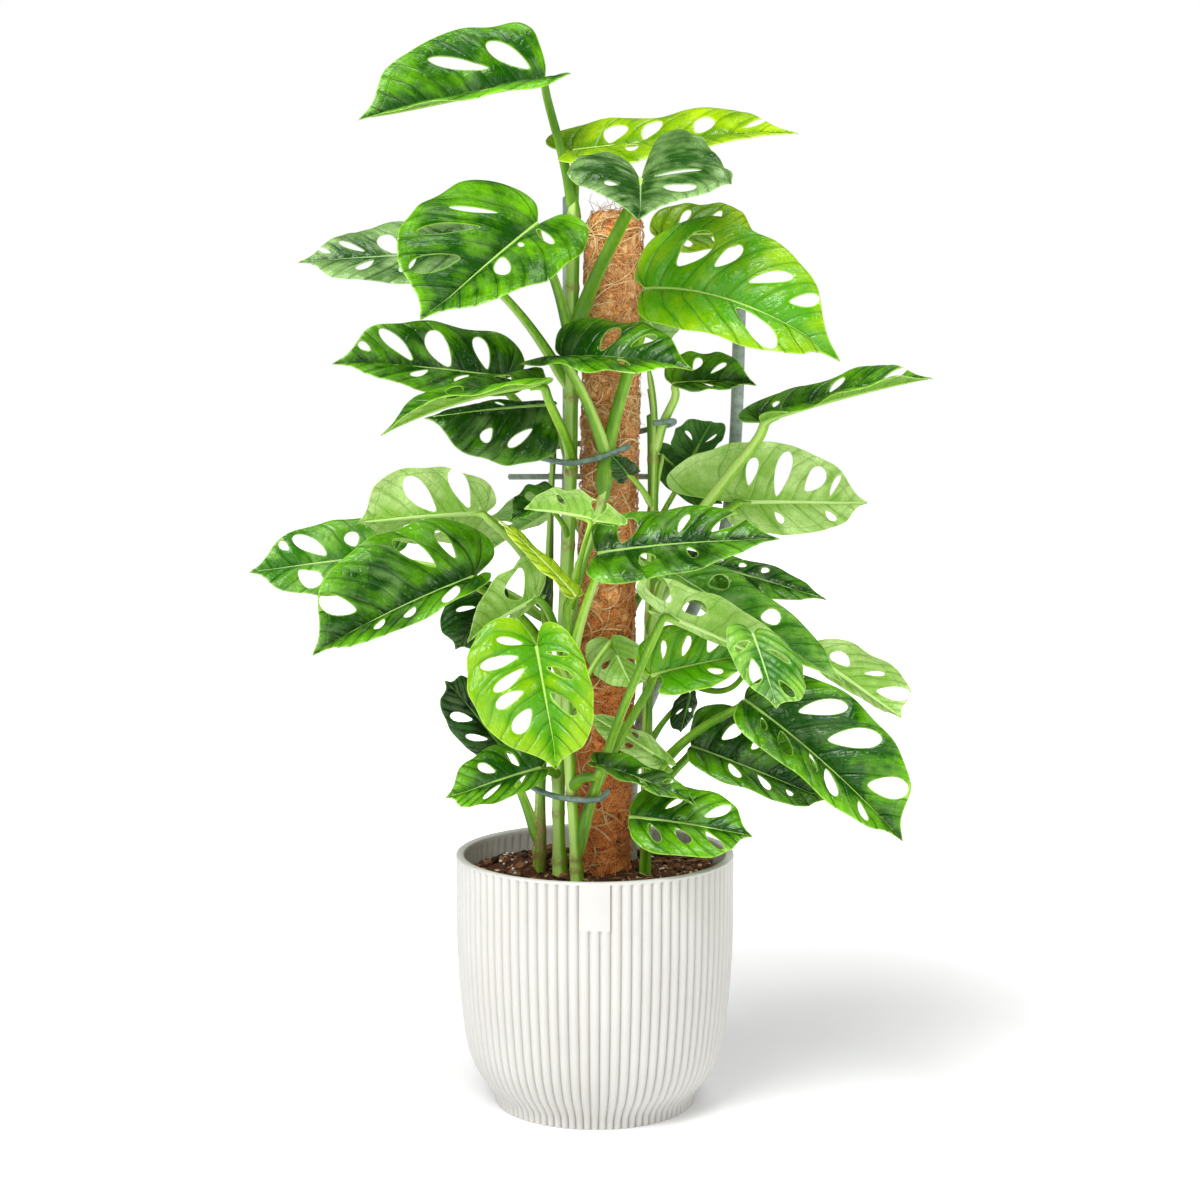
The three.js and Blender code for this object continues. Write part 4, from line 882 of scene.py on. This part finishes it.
def build_soil():
    rows = [[(radius * cos(t), radius * sin(t), z) for t in full_turn(SOIL_SIDES)]
            for radius, z in SOIL_SKIRT]
    for share in np.linspace(1, 0.012, SOIL_RINGS):
        spots = [(SOIL_EDGE * share * cos(t), SOIL_EDGE * share * sin(t))
                 for t in full_turn(SOIL_SIDES)]
        rows.append([(x, y, soil_height(x, y)) for x, y in spots])
    points = np.concatenate(rows + [[[0, 0, SOIL_SKIRT[0][1]], [0, 0, soil_height(0, 0)]]])
    soil = Shape()
    soil.add(points, closed_faces(len(rows), SOIL_SIDES), shade=0.0)
    for _ in range(CRUMBS):
        x, y = soil_spot()
        size = RANDOM.gamma(2.0, 0.5) + 0.45
        lump, faces = crumb(size, (1.5, RANDOM.uniform(0.6, 1.1), RANDOM.uniform(0.4, 0.8)))
        soil.add(lump + (x, y, soil_height(x, y) + 0.2 * size), faces,
                 shade=RANDOM.normal(0.05, 0.2))
    for _ in range(PERLITE_GRAINS):
        x, y = soil_spot()
        grain, faces = crumb(RANDOM.uniform(0.6, 1.5), (1, 0.9, 0.8), 4)
        soil.add(grain + (x, y, soil_height(x, y) + 0.7), faces, look=1)
    for _ in range(ROOTLETS):
        x, y = soil_spot()
        turn, length = any_turn(), RANDOM.uniform(4, 13)
        bend = RANDOM.uniform(-0.25, 0.25)
        path = []
        for _ in range(ROOTLET_STEPS):
            path.append((x, y, soil_height(x, y) + 0.5 + RANDOM.uniform(0, 0.8)))
            x += cos(turn) * length / ROOTLET_STEPS
            y += sin(turn) * length / ROOTLET_STEPS
            turn += bend
            if hypot(x, y) > SOIL_REACH:
                break
        if len(path) > 3:
            root = tube(path, RANDOM.uniform(0.15, 0.35), 3)
            soil.add(*root, shade=RANDOM.uniform(0.0, 0.5))
    soil.piece("soil_top", [soil_look(), perlite_look()], "soil", crease=70)


def pole_point(turn, radius, z):
    radius = radius * (1 - 0.22 * smoothstep(z, POLE_TOP[2] - 9, POLE_TOP[2] + 1))
    share = (z - POLE_FOOT[2]) / (POLE_TOP[2] - POLE_FOOT[2])
    x = POLE_FOOT[0] + (POLE_TOP[0] - POLE_FOOT[0]) * share
    return np.array([x + radius * cos(turn), radius * sin(turn), z])


def add_mat(coir):
    """The mat of short fibre round the stake, with its rough top."""
    turns = full_turn(MAT_SIDES)
    rows, lift = [], []
    for z in np.linspace(POLE_FOOT[2], POLE_TOP[2] - 1, MAT_RINGS):
        for turn in turns:
            spot = (POLE_RADIUS * cos(turn), POLE_RADIUS * sin(turn), z)
            mat, dents = uneven(spot, 4.5, 3), uneven(spot, 13, 4)
            rows.append(pole_point(turn, POLE_RADIUS - 1.6 + 1.1 * mat + 0.8 * dents, z))
            lift.append(0.9 * mat + 0.05)
    for share in (0.75, 0.4):
        for turn in turns:
            rise = 1.5 * uneven((turn * 3, share * 9, 0), 1, 5)
            rows.append(pole_point(turn, (POLE_RADIUS - 1.6) * share, POLE_TOP[2] + rise))
            lift.append(-0.1)
    rows += [pole_point(0, 0, POLE_FOOT[2]), pole_point(0, 0, POLE_TOP[2] - 2)]
    coir.add(rows, closed_faces(MAT_RINGS + 2, MAT_SIDES), lift=lift + [0, 0])


def add_strand(coir, thick):
    """A fibre that curls over the mat."""
    z = RANDOM.uniform(SOIL_AT_POLE - 5, POLE_TOP[2] - 1)
    turn = any_turn()
    level = thick or RANDOM.random() < 0.55
    heading = RANDOM.normal(0, 0.5) if level else RANDOM.uniform(-1.5, 1.5)
    heading += pi * RANDOM.integers(2)
    curl = RANDOM.normal(0, 0.13)
    steps = int(RANDOM.uniform(9, 17))
    height = POLE_RADIUS - 0.7 + RANDOM.uniform(0, 0.9) + (0.3 if thick else 0)
    sway = RANDOM.uniform(0, 6)
    path = []
    for step in range(steps):
        path.append(pole_point(turn, height + 0.4 * sin(sway + step * 0.9), z))
        turn += cos(heading) * STRAND_STEP / POLE_RADIUS
        z = min(z + sin(heading) * STRAND_STEP, POLE_TOP[2] + 0.5)
        heading += curl
    radius = RANDOM.uniform(0.45, 0.75) if thick else RANDOM.uniform(0.22, 0.44)
    coir.add(*tube(path, radius, 3),
             lift=RANDOM.uniform(0.7, 1.1) if thick else RANDOM.uniform(-0.2, 0.5))


def add_loose_strand(coir, on_top):
    """A thin fibre that stands off the mat, or rises from its top."""
    z = RANDOM.uniform(POLE_TOP[2] - 8 if on_top else SOIL_AT_POLE, POLE_TOP[2])
    turn = any_turn()
    point = pole_point(turn, POLE_RADIUS - 1 - (RANDOM.uniform(0, 9) if on_top else 0), z)
    outward = np.array([cos(turn), sin(turn), RANDOM.normal(0, 0.4)])
    along = np.array([-sin(turn), cos(turn), 0]) * RANDOM.choice([-1, 1])
    direction = unit(outward * (0.2 if on_top else 0.45) + along * 0.6
                     + np.array([0, 0, 1.4 if on_top else RANDOM.normal(0, 0.7)]))
    path = []
    for _ in range(9):
        path.append(point)
        point = point + direction * (1.7 if on_top else 1.5)
        direction = unit(direction - outward * 0.12 + RANDOM.normal(0, 0.16, 3)
                         - np.array([0, 0, 0.06]))
    lift = RANDOM.uniform(0.4, 1.0) - (0.75 if on_top else 0)
    coir.add(*tube(path, np.linspace(0.26, 0.12, 9), 3), lift=lift)


def build_coir():
    coir = Shape()
    add_mat(coir)
    for number in range(STRANDS):
        add_strand(coir, number % 8 == 0)
    for number in range(LOOSE_STRANDS):
        add_loose_strand(coir, number < LOOSE_ON_TOP)
    coir.piece("coir_wrap", [coir_look()], "coir_pole")


def finish_stake():
    """The hidden stake keeps its CAD solid and only gets its wood."""
    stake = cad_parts["pole_stake"]
    stake.data.materials.clear()
    stake.data.materials.append(stake_look().material)


def build_wires():
    rods = Shape()
    for line in UPRIGHT_LINES:
        rods.add(*tube(smooth_line(line, 24), UPRIGHT_RADIUS, 18))
    rods.add(*tube(smooth_line(RUNG_LINE, 24), RUNG_RADIUS, 14))
    rods.piece("frame_rods", [wire_look("rod_coat", "78887e", "a4b0a8")], "support_frame")
    tie_coat = wire_look("tie_coat", "506a5c", "86a092")
    for name, line in TIE_LINES.items():
        tie = Shape()
        tie.add(*tube(smooth_line(line, 9), TIE_RADIUS, 12))
        tie.piece(f"{name}_wire", [tie_coat], name)


# ---------------------------------------------------------------- leaves


class Leaf:
    def __init__(self, name, base, tip, left, right, vine, height, tone, more=()):
        self.name, self.vine, self.height, self.tone = name, vine, height, tone
        self.base = np.array(base, float)
        self.axis = np.array(tip, float) - self.base
        self.halves = {-1: np.array(left, float), 1: np.array(right, float)}
        self.length = norm(self.axis)
        self.long = self.length > LONG_LEAF
        self.widths = {side: norm(half) for side, half in self.halves.items()}
        self.normal = unit(np.cross(self.halves[1] - self.halves[-1], self.axis))
        self.girth = THICK_STALK if self.long else THIN_STALK
        for key, value in {**PLAIN_LEAF, **dict(more)}.items():
            setattr(self, key, value)
        seed = sum(ord(letter) * (place + 3) for place, letter in enumerate(name))
        self.chance = np.random.default_rng(seed)

    def width(self, side):
        return np.where(side < 0, self.widths[-1], self.widths[1])

    def at(self, side, s, w):
        """Points of the blade's middle surface: s along the midrib, w across the half."""
        half = np.where(side[:, None] < 0, self.halves[-1], self.halves[1])
        rise = (self.arch * 4 * s * (1 - s) + self.bulge * self.width(side) * 4 * w * (1 - w)
                + self.wave * np.sin(pi * (2 * WAVES * s + side / 2)) * w * w)
        return self.base + s[:, None] * self.axis + w[:, None] * half + rise[:, None] * self.normal

    def half_normal(self, side, s, w):
        step = 0.01
        along = self.at(side, s + step, w) - self.at(side, s - step, w)
        across = self.at(side, s, w + step) - self.at(side, s, np.maximum(w - step, 0))
        return unit(np.cross(across * side[:, None], along))

    def normals(self, side, s, w):
        """Upward directions, rounded over the fold at the midrib."""
        none = np.zeros_like(s)
        fold = unit(self.half_normal(none - 1, s, none) + self.half_normal(none + 1, s, none))
        share = smoothstep(w, 0, 0.12)[:, None]
        return unit(fold * (1 - share) + self.half_normal(side, s, w) * share)


def half_edge(leaf, side, steps=9):
    """The outline of one half, base to tip, as (s, w): a Catmull-Rom curve drawn in at the tip."""
    lobe, taper = (pair[0 if side < 0 else 1] for pair in (leaf.lobes, leaf.taper))
    points = np.array([(s * lobe if s < 0 else s, w * (1 + taper * (TAPER_MIDDLE - max(s, 0))))
                       for s, w in HALF_OUTLINE])
    padded = np.concatenate([points[:1], points, points[-1:]])
    share = np.linspace(0, 1, steps, endpoint=False)[:, None]
    line = [hermite(p1, p2, (p2 - p0) / 2, (p3 - p1) / 2, share)
            for p0, p1, p2, p3 in zip(padded, padded[1:], padded[2:], padded[3:])]
    edge = np.concatenate(line + [points[-1:]])
    edge[:, 1] = np.maximum(edge[:, 1], 0) * (1 - 0.62 * smoothstep(edge[:, 0], 0.8, 0.95))
    edge[:, 1] *= 1 + 0.012 * np.sin(edge[:, 0] * 23 + leaf.chance.uniform(0, 6))
    return edge


def half_holes(leaf, side):
    if leaf.name in HOLES:
        return HOLES[leaf.name][0 if side < 0 else 1]
    width = leaf.widths[side]
    if not leaf.long:
        return [(0.4, 0.45, 0.2 * width, 0.04 * leaf.length)]
    return [(0.22, 0.46, 0.24 * width, 0.035 * leaf.length),
            (0.52, 0.42, 0.22 * width, 0.035 * leaf.length)]


def hole_ring(leaf, side, hole):
    """A long oval hole, blunt towards the edge of the leaf, as flat points."""
    s, w, long, wide = hole[:4]
    lean = radians(hole[4] if len(hole) > 4 else VEIN_LEAN - VEIN_LEAN_DROP * s)
    turns = full_turn(max(14, int(long * HOLE_POINTS)))
    x = np.cos(turns)
    y = np.sin(turns) * (1 + 0.34 * x) * (1 + 0.1 * (1 - x * x))
    y = y + leaf.chance.uniform(-0.3, 0.3) * (1 - x * x)
    long, wide = long * HOLE_GROWTH, wide * HOLE_GROWTH
    across = x * long * sin(lean) - y * wide * cos(lean) + w * leaf.widths[side]
    along = x * long * cos(lean) + y * wide * sin(lean) + s * leaf.length
    return np.stack([side * np.maximum(across, RIB_CLEAR), along], axis=1)


def resample(ring, gap):
    """Points of a closed ring at about even gaps."""
    closed = np.concatenate([ring, ring[:1]])
    run = np.concatenate([[0], np.cumsum(norm(np.diff(closed, axis=0), axis=1))])
    spots = np.linspace(0, run[-1], max(8, int(run[-1] / gap)), endpoint=False)
    return np.stack([np.interp(spots, run, closed[:, k]) for k in (0, 1)], axis=1)


def inside(points, ring):
    """True for each point that lies inside a closed ring."""
    after = np.roll(ring, -1, axis=0)
    x, y = points[:, :1], points[:, 1:]
    spans = (ring[:, 1] > y) != (after[:, 1] > y)
    rise = np.where(after[:, 1] == ring[:, 1], 1e-9, after[:, 1] - ring[:, 1])
    slope = (after[:, 0] - ring[:, 0]) / rise
    return (spans & (x < ring[:, 0] + (y - ring[:, 1]) * slope)).sum(axis=1) % 2 == 1


def from_rings(points, rings):
    """Distance from each point to the nearest ring."""
    best = np.full(len(points), 1e9)
    for ring in rings:
        run = np.roll(ring, -1, axis=0) - ring
        size = np.maximum((run**2).sum(axis=1), 1e-9)
        reach = points[:, None] - ring
        share = np.clip((reach * run).sum(axis=2) / size, 0, 1)
        away = norm(reach - share[..., None] * run, axis=2)
        best = np.minimum(best, away.min(axis=1))
    return best


def flat_blade(leaf):
    """The blade laid flat: points, triangles, and distance to the nearest edge or hole."""
    outline = []
    for side in (1, -1):
        edge = half_edge(leaf, side)
        flat = np.stack([side * edge[:, 1] * leaf.widths[side], edge[:, 0] * leaf.length], axis=1)
        outline.append((flat if side > 0 else flat[::-1])[:-1])
    gap = BLADE_GRID
    outline = resample(np.concatenate(outline), gap * 0.8)
    holes = [hole_ring(leaf, side, hole) for side in (-1, 1) for hole in half_holes(leaf, side)]
    rings = [outline, *holes]
    rib = np.arange(gap, leaf.length - gap / 2, gap)
    rib = np.stack([np.zeros(len(rib)), rib], axis=1)
    rib = rib[from_rings(rib, rings) > gap * 0.4]
    low, high = outline.min(axis=0), outline.max(axis=0)
    x, y = np.meshgrid(np.arange(low[0], high[0], gap), np.arange(low[1], high[1], gap * 0.866))
    x = x + (np.arange(len(x)) % 2)[:, None] * gap / 2
    fill = np.stack([x.ravel(), y.ravel()], axis=1)
    fill = fill + leaf.chance.uniform(-0.12, 0.12, (x.size, 2)) * gap
    fill = fill[inside(fill, outline) & (np.abs(fill[:, 0]) > gap * 0.6)]
    fill = fill[from_rings(fill, rings) > gap * 0.55]
    spots = np.concatenate([*rings, rib, fill])
    edges, start = [], 0
    for ring in rings:
        count = len(ring)
        edges += [(start + k, start + (k + 1) % count) for k in range(count)]
        start += count
    edges += [(start + k, start + k + 1) for k in range(len(rib) - 1)]
    made = delaunay_2d_cdt([Vector(p) for p in spots], edges, [], 0, 1e-5, False)
    points = np.array([tuple(p) for p in made[0]])
    faces = np.array([face for face in made[2] if len(face) == 3])
    middle = points[faces].mean(axis=1)
    keep = inside(middle, outline)
    for hole in holes:
        keep &= ~inside(middle, hole)
    faces = faces[keep]
    a, b, c = (points[faces[:, k]] for k in range(3))
    turn = (b[:, 0] - a[:, 0]) * (c[:, 1] - a[:, 1]) - (b[:, 1] - a[:, 1]) * (c[:, 0] - a[:, 0])
    faces[turn < 0] = faces[turn < 0][:, ::-1]
    used, faces = np.unique(faces[np.abs(turn) > 1e-6], return_inverse=True)
    points = points[used]
    return points, faces.reshape(-1, 3), from_rings(points, rings), from_rings(points, rings[:1])


def vein_root(leaf, side, s, w):
    """Where the side vein through a point leaves the midrib, as a share of its length."""
    slope = w * leaf.width(side) / leaf.length
    lean = np.radians(VEIN_LEAN - VEIN_LEAN_DROP * np.clip(s, 0, 1))
    ahead = s - slope / np.tan(lean) - 0.05 * w * w
    round_base = 0.3 * np.arctan2(-s, np.maximum(slope, 1e-6)) / (pi / 2)
    lobe = -slope / tan(radians(VEIN_LEAN)) - round_base
    return np.where(s >= 0, ahead, lobe - 0.05 * w * w)


def vein_phase(leaf, side, root):
    """Whole numbers on the side veins, which pass between the holes, and the gap between them."""
    spots = np.array([hole[:2] for hole in half_holes(leaf, side)], float).reshape(-1, 2)
    roots = vein_root(leaf, np.full(len(spots), side), spots[:, 0], spots[:, 1])
    marks = [VEIN_ENDS[0], *sorted(roots.tolist()), VEIN_ENDS[1]]
    knots = []
    for low, high in zip(marks, marks[1:]):
        count = max(1, round((high - low) / VEIN_GAP))
        knots += [low + (high - low) * (k + 0.5) / count for k in range(count)]
    knots = np.array([knots[0] - 0.15, *knots, knots[-1] + 0.15])
    gap = np.interp(root, (knots[1:] + knots[:-1]) / 2, np.diff(knots))
    return np.interp(root, knots, np.arange(len(knots))), gap * leaf.length


def blade_values(leaf, flat, edge, margin):
    """The blade's own coordinates at flat points, and what the leaf's look reads there."""
    side = np.where(flat[:, 0] < 0, -1.0, 1.0)
    w = np.abs(flat[:, 0]) / leaf.width(side)
    s = flat[:, 1] / leaf.length
    root = vein_root(leaf, side, s, w)
    vein, gap = np.zeros(len(s)), np.zeros(len(s))
    for half in (-1, 1):
        mine = side == half
        vein[mine], gap[mine] = vein_phase(leaf, half, root[mine])
    a, b = leaf.chance.uniform(0, 6, 2)
    vein += 0.07 * np.sin(9 * s + 4 * w * side + a) + 0.05 * np.sin(7 * w + 21 * s * side + b)
    taper = 1.35 - 0.95 * np.clip(s, 0, 1)
    values = {"vein": vein, "gap": gap, "edge": edge, "margin": margin,
              "root": root * leaf.length, "rib": flat[:, 0] / taper,
              "shift": np.full(len(s), leaf.chance.uniform(-0.06, 0.06))}
    return side, s, w, values


def blade_relief(leaf, s, w, values):
    """How far the blade stands off its smooth form, in millimetres."""
    swell = np.abs(np.sin(pi * values["vein"])) ** 0.8
    a, b, c = leaf.chance.uniform(0, 6, 3)
    change = 1 + 0.5 * np.sin(7 * s + 2 * w + a) + 0.3 * np.sin(17 * s - 5 * w + b)
    quilt = QUILT * np.minimum(values["gap"], 14) * swell * change
    quilt = quilt * smoothstep(w, 0, 0.2) * (1 - 0.8 * w)
    quilt *= 1 - 0.8 * smoothstep(s, 0.7, 1)
    roll = 0.6 * np.sin(8.3 * s + 3.7 * w + b) * w * w
    roll = np.sin(5.1 * s + a) * w + roll + 0.4 * np.sin(13 * s + c) * w**3
    curl = -CURL_DEPTH * np.exp(-values["edge"] / CURL_WIDTH)
    channel = -CHANNEL_DEPTH * np.exp(-(values["rib"] / CHANNEL_WIDTH) ** 2)
    return quilt + ROLL * leaf.length * roll + curl + channel


def build_leaf(leaf, looks):
    """A closed blade with a rounded rim, and the midrib that stands out below it."""
    flat, faces, edge, margin = flat_blade(leaf)
    side, s, w, values = blade_values(leaf, flat, edge, margin)
    normals = leaf.normals(side, s, w)
    hook = leaf.chance.uniform(-1, 1) * HOOK * leaf.length * unit(leaf.halves[1] - leaf.halves[-1])
    middle = leaf.at(side, s, w) + normals * blade_relief(leaf, s, w, values)[:, None]
    middle += smoothstep(s, *HOOK_SPAN)[:, None] * hook
    count = len(middle)
    directed = np.concatenate([faces[:, [0, 1]], faces[:, [1, 2]], faces[:, [2, 0]]]).tolist()
    known = {(a, b) for a, b in directed}
    rim = np.array([(a, b) for a, b in directed if (b, a) not in known])
    a, b = rim[:, 0], rim[:, 1]
    outward = np.zeros_like(middle)
    away = unit(np.cross(middle[b] - middle[a], normals[a]))
    np.add.at(outward, a, away)
    np.add.at(outward, b, away)
    rim_spots = np.unique(rim)
    place = np.full(count, -1)
    place[rim_spots] = np.arange(len(rim_spots)) + 2 * count
    upper = middle + normals * BLADE_THICKNESS / 2
    lower = middle - normals * BLADE_THICKNESS / 2
    turned = middle[rim_spots] + unit(outward[rim_spots]) * BLADE_RIM
    shape = Shape()
    shape.add(np.concatenate([upper, lower, turned]),
              [faces, np.stack([b, a, place[a], place[b]], axis=1)],
              **{key: np.concatenate([value, value, value[rim_spots]])
                 for key, value in values.items()})
    shape.add_faces(faces[:, ::-1] + count, 1)
    shape.add_faces(np.stack([place[b], place[a], a + count, b + count], axis=1), 1)
    share = np.linspace(0, 0.93, 26)
    zero = np.zeros_like(share)
    ridge = leaf.at(zero + 1, share, zero) - leaf.normals(zero + 1, share, zero) * RIB_SINK
    ridge += smoothstep(share, *HOOK_SPAN)[:, None] * hook
    thick = (1.9 if leaf.long else 1.3) * (1 - share) ** 0.7 * 0.75 + 0.22
    shape.add(*tube(ridge, thick, 8), look=1, gap=9.0, vein=0.5, edge=9.0, margin=9.0, rib=0.0,
              shift=values["shift"][0])
    shape.piece(f"blade_{leaf.name}", looks, f"leaf_{leaf.name}", crease=55)


# ---------------------------------------------------------------- stems


def stalk_line(leaf, line, steps=13):
    """From the vine's middle line to the blade, then along its midrib."""
    zero = np.zeros(1)
    normal = leaf.normals(zero + 1, zero, zero)[0]
    droops = [-np.dot(half, normal) / norm(half) for half in leaf.halves.values()]
    depth = CAD_BLADE / 2 + STALK_SEAT + leaf.girth * max(0, *droops)
    start = line[np.abs(line[:, 2] - leaf.height).argmin()]
    end = leaf.base - normal * depth
    reach = norm(end - start)
    middle = (start + end) / 2 + (0, 0, STALK_RISE * reach)
    if leaf.via:
        middle = np.array(leaf.via, float)
    knee = end - normal * min(STALK_KNEE, reach / 3)
    ahead = leaf.axis / leaf.length
    tail = [leaf.base - normal * under + ahead * along for under, along in STALK_TAIL]
    curve = bezier(start, middle, knee, end, steps)
    return smooth_line(np.concatenate([curve[:-1], tail]), 2)


def build_vine(name, look):
    radius, points = VINES[name]
    mine = [leaf for leaf in LEAVES if leaf.vine == name]
    line = smooth_line(points, 40)
    heights = line[:, 2]
    joints = [leaf.height - 2 for leaf in mine]
    joints += list(np.arange(SOIL_LEVEL + 14, min(joints) - 12, JOINT_GAP))
    swell = sum(np.exp(-((heights - z) / JOINT_SPREAD) ** 2) for z in joints)
    stems = BUNDLES.get(name, 1)
    in_bundle = stems > 1
    thickness = radius * (1 + JOINT_SWELL * np.minimum(swell, 1.2))
    thickness = thickness * (0.96 + 0.05 * np.sin(heights / 17))
    thickness = thickness * (1 - 0.4 * smoothstep(heights, heights[-1] - 10, heights[-1]))
    thickness = thickness * (1 + 0.25 * np.exp(-((heights - SOIL_LEVEL) / 22) ** 2))
    dried = np.zeros(len(line))
    if name in OLD_SHEATHS:
        middle, spread, extra = OLD_SHEATHS[name]
        dried = np.exp(-((heights - middle) / spread) ** 2)
        thickness = thickness * (1 + extra * dried)
    young = 0.2 + 0.6 * smoothstep(heights, 450, 180) + (0.2 if in_bundle else 0)
    joint = np.minimum(0.8 * swell + 1.2 * dried, 1)
    vine = Shape()
    for number in range(stems):
        turn = 2 * pi * number / stems + heights / BUNDLE_TWIST
        aside = np.stack([np.cos(turn), np.sin(turn), np.zeros_like(turn)], axis=1)
        aside = aside * (radius * BUNDLE_SPREAD if in_bundle else 0)
        last = len(line) - number * BUNDLE_STEP
        girth = thickness * (BUNDLE_GIRTH if in_bundle else 1)
        vine.add(*tube((line + aside)[:last], girth[:last], VINE_SIDES),
                 turn=per_side(last, VINE_SIDES, 1.7 * number - 2.5),
                 young=per_ring(young[:last], VINE_SIDES), joint=per_ring(joint[:last], VINE_SIDES))
    for leaf in mine:
        path = stalk_line(leaf, line)
        share = np.linspace(0, 1, len(path))
        sheath = 0.35 * np.exp(-(share / 0.16) ** 2)
        taper = 1 - 0.24 * share - 0.42 * smoothstep(share, 0.86, 1)
        thin = leaf.girth * STALK_GIRTH * (taper + sheath)
        thin = thin * (1 - 0.6 * np.exp(-(share / 0.035) ** 2))
        vine.add(*tube(path, thin, STALK_SIDES, 0.93),
                 turn=per_side(len(path), STALK_SIDES, leaf.length),
                 young=per_ring(0.55 + 0.45 * smoothstep(share, 0, 0.3), STALK_SIDES),
                 joint=per_ring(0.25 * np.exp(-(share / 0.05) ** 2), STALK_SIDES))
    vine.piece(f"{name}_stem", [look], name)


# ---------------------------------------------------------------- studio


def build_floor():
    half = FLOOR_HALF * MM
    floor = bpy.data.meshes.new("floor")
    floor.from_pydata([(-half, -half, 0), (half, -half, 0), (half, half, 0), (-half, half, 0)],
                      [], [(0, 1, 2, 3)])
    look = Look("floor", Roughness=0.6, Emission_Color=(1, 1, 1, 1))
    look.set("Base Color", look.ramp(look.noise(400, 2.0), (0.3, "f4f4f4"), (0.7, "f8f8f8")))
    away = look.node("ShaderNodeVectorMath", {0: look.place()}, "Value", operation="LENGTH")
    look.set("Emission Strength", look.step(away, 0.15, 1.1, 0.03, 0.6))
    floor.materials.append(look.material)
    thing = show("floor", floor)


def add_light(name, kind, place, size, power):
    """A sun's disc is size degrees wide; an area light stands at place, size metres wide."""
    light = bpy.data.lights.new(name, kind)
    light.energy = power
    if kind == "SUN":
        light.angle = radians(size)
    else:
        light.size = size
    thing = show(name, light)
    thing.location = place
    thing.rotation_euler = (Vector(LIGHT_AIM) - Vector(place)).to_track_quat("-Z", "Y").to_euler()


def build_world():
    """A white world whose brightness depends on whether it lights, is mirrored or is seen."""
    world = bpy.data.worlds.new("studio")
    bpy.context.scene.world = world
    world.use_nodes = True
    tree = world.node_tree
    tree.nodes.clear()
    path = tree.nodes.new("ShaderNodeLightPath")
    light = None
    for ray, strength in WORLD:
        background = tree.nodes.new("ShaderNodeBackground")
        background.inputs["Color"].default_value = (1, 1, 1, 1)
        background.inputs["Strength"].default_value = strength
        if light:
            mix = tree.nodes.new("ShaderNodeMixShader")
            tree.links.new(path.outputs[ray], mix.inputs[0])
            tree.links.new(light, mix.inputs[1])
            tree.links.new(background.outputs[0], mix.inputs[2])
            light = mix.outputs[0]
        else:
            light = background.outputs[0]
    tree.links.new(light, tree.nodes.new("ShaderNodeOutputWorld").inputs["Surface"])


def build_camera():
    camera = bpy.data.cameras.new("camera")
    camera.lens = CAMERA_LENS
    camera.sensor_width = SENSOR
    thing = show("camera", camera)
    thing.location = Vector(CAMERA_PLACE) * MM
    thing.rotation_euler = (pi / 2 - CAMERA_PITCH, 0, 0)
    bpy.context.scene.camera = thing


LEAVES = [Leaf(*row) for row in LEAVES]
build_pot()
build_soil()
build_coir()
finish_stake()
build_wires()
stem = stem_look()
for vine_name in VINES:
    build_vine(vine_name, stem)
tone_looks = {tone: [leaf_look(tone, True), leaf_look(tone, False)] for tone in TONES}
for each in LEAVES:
    build_leaf(each, tone_looks[each.tone])
build_floor()
build_world()
for row in LIGHTS:
    add_light(*row)
build_camera()
bpy.context.scene.view_settings.view_transform = "Standard"
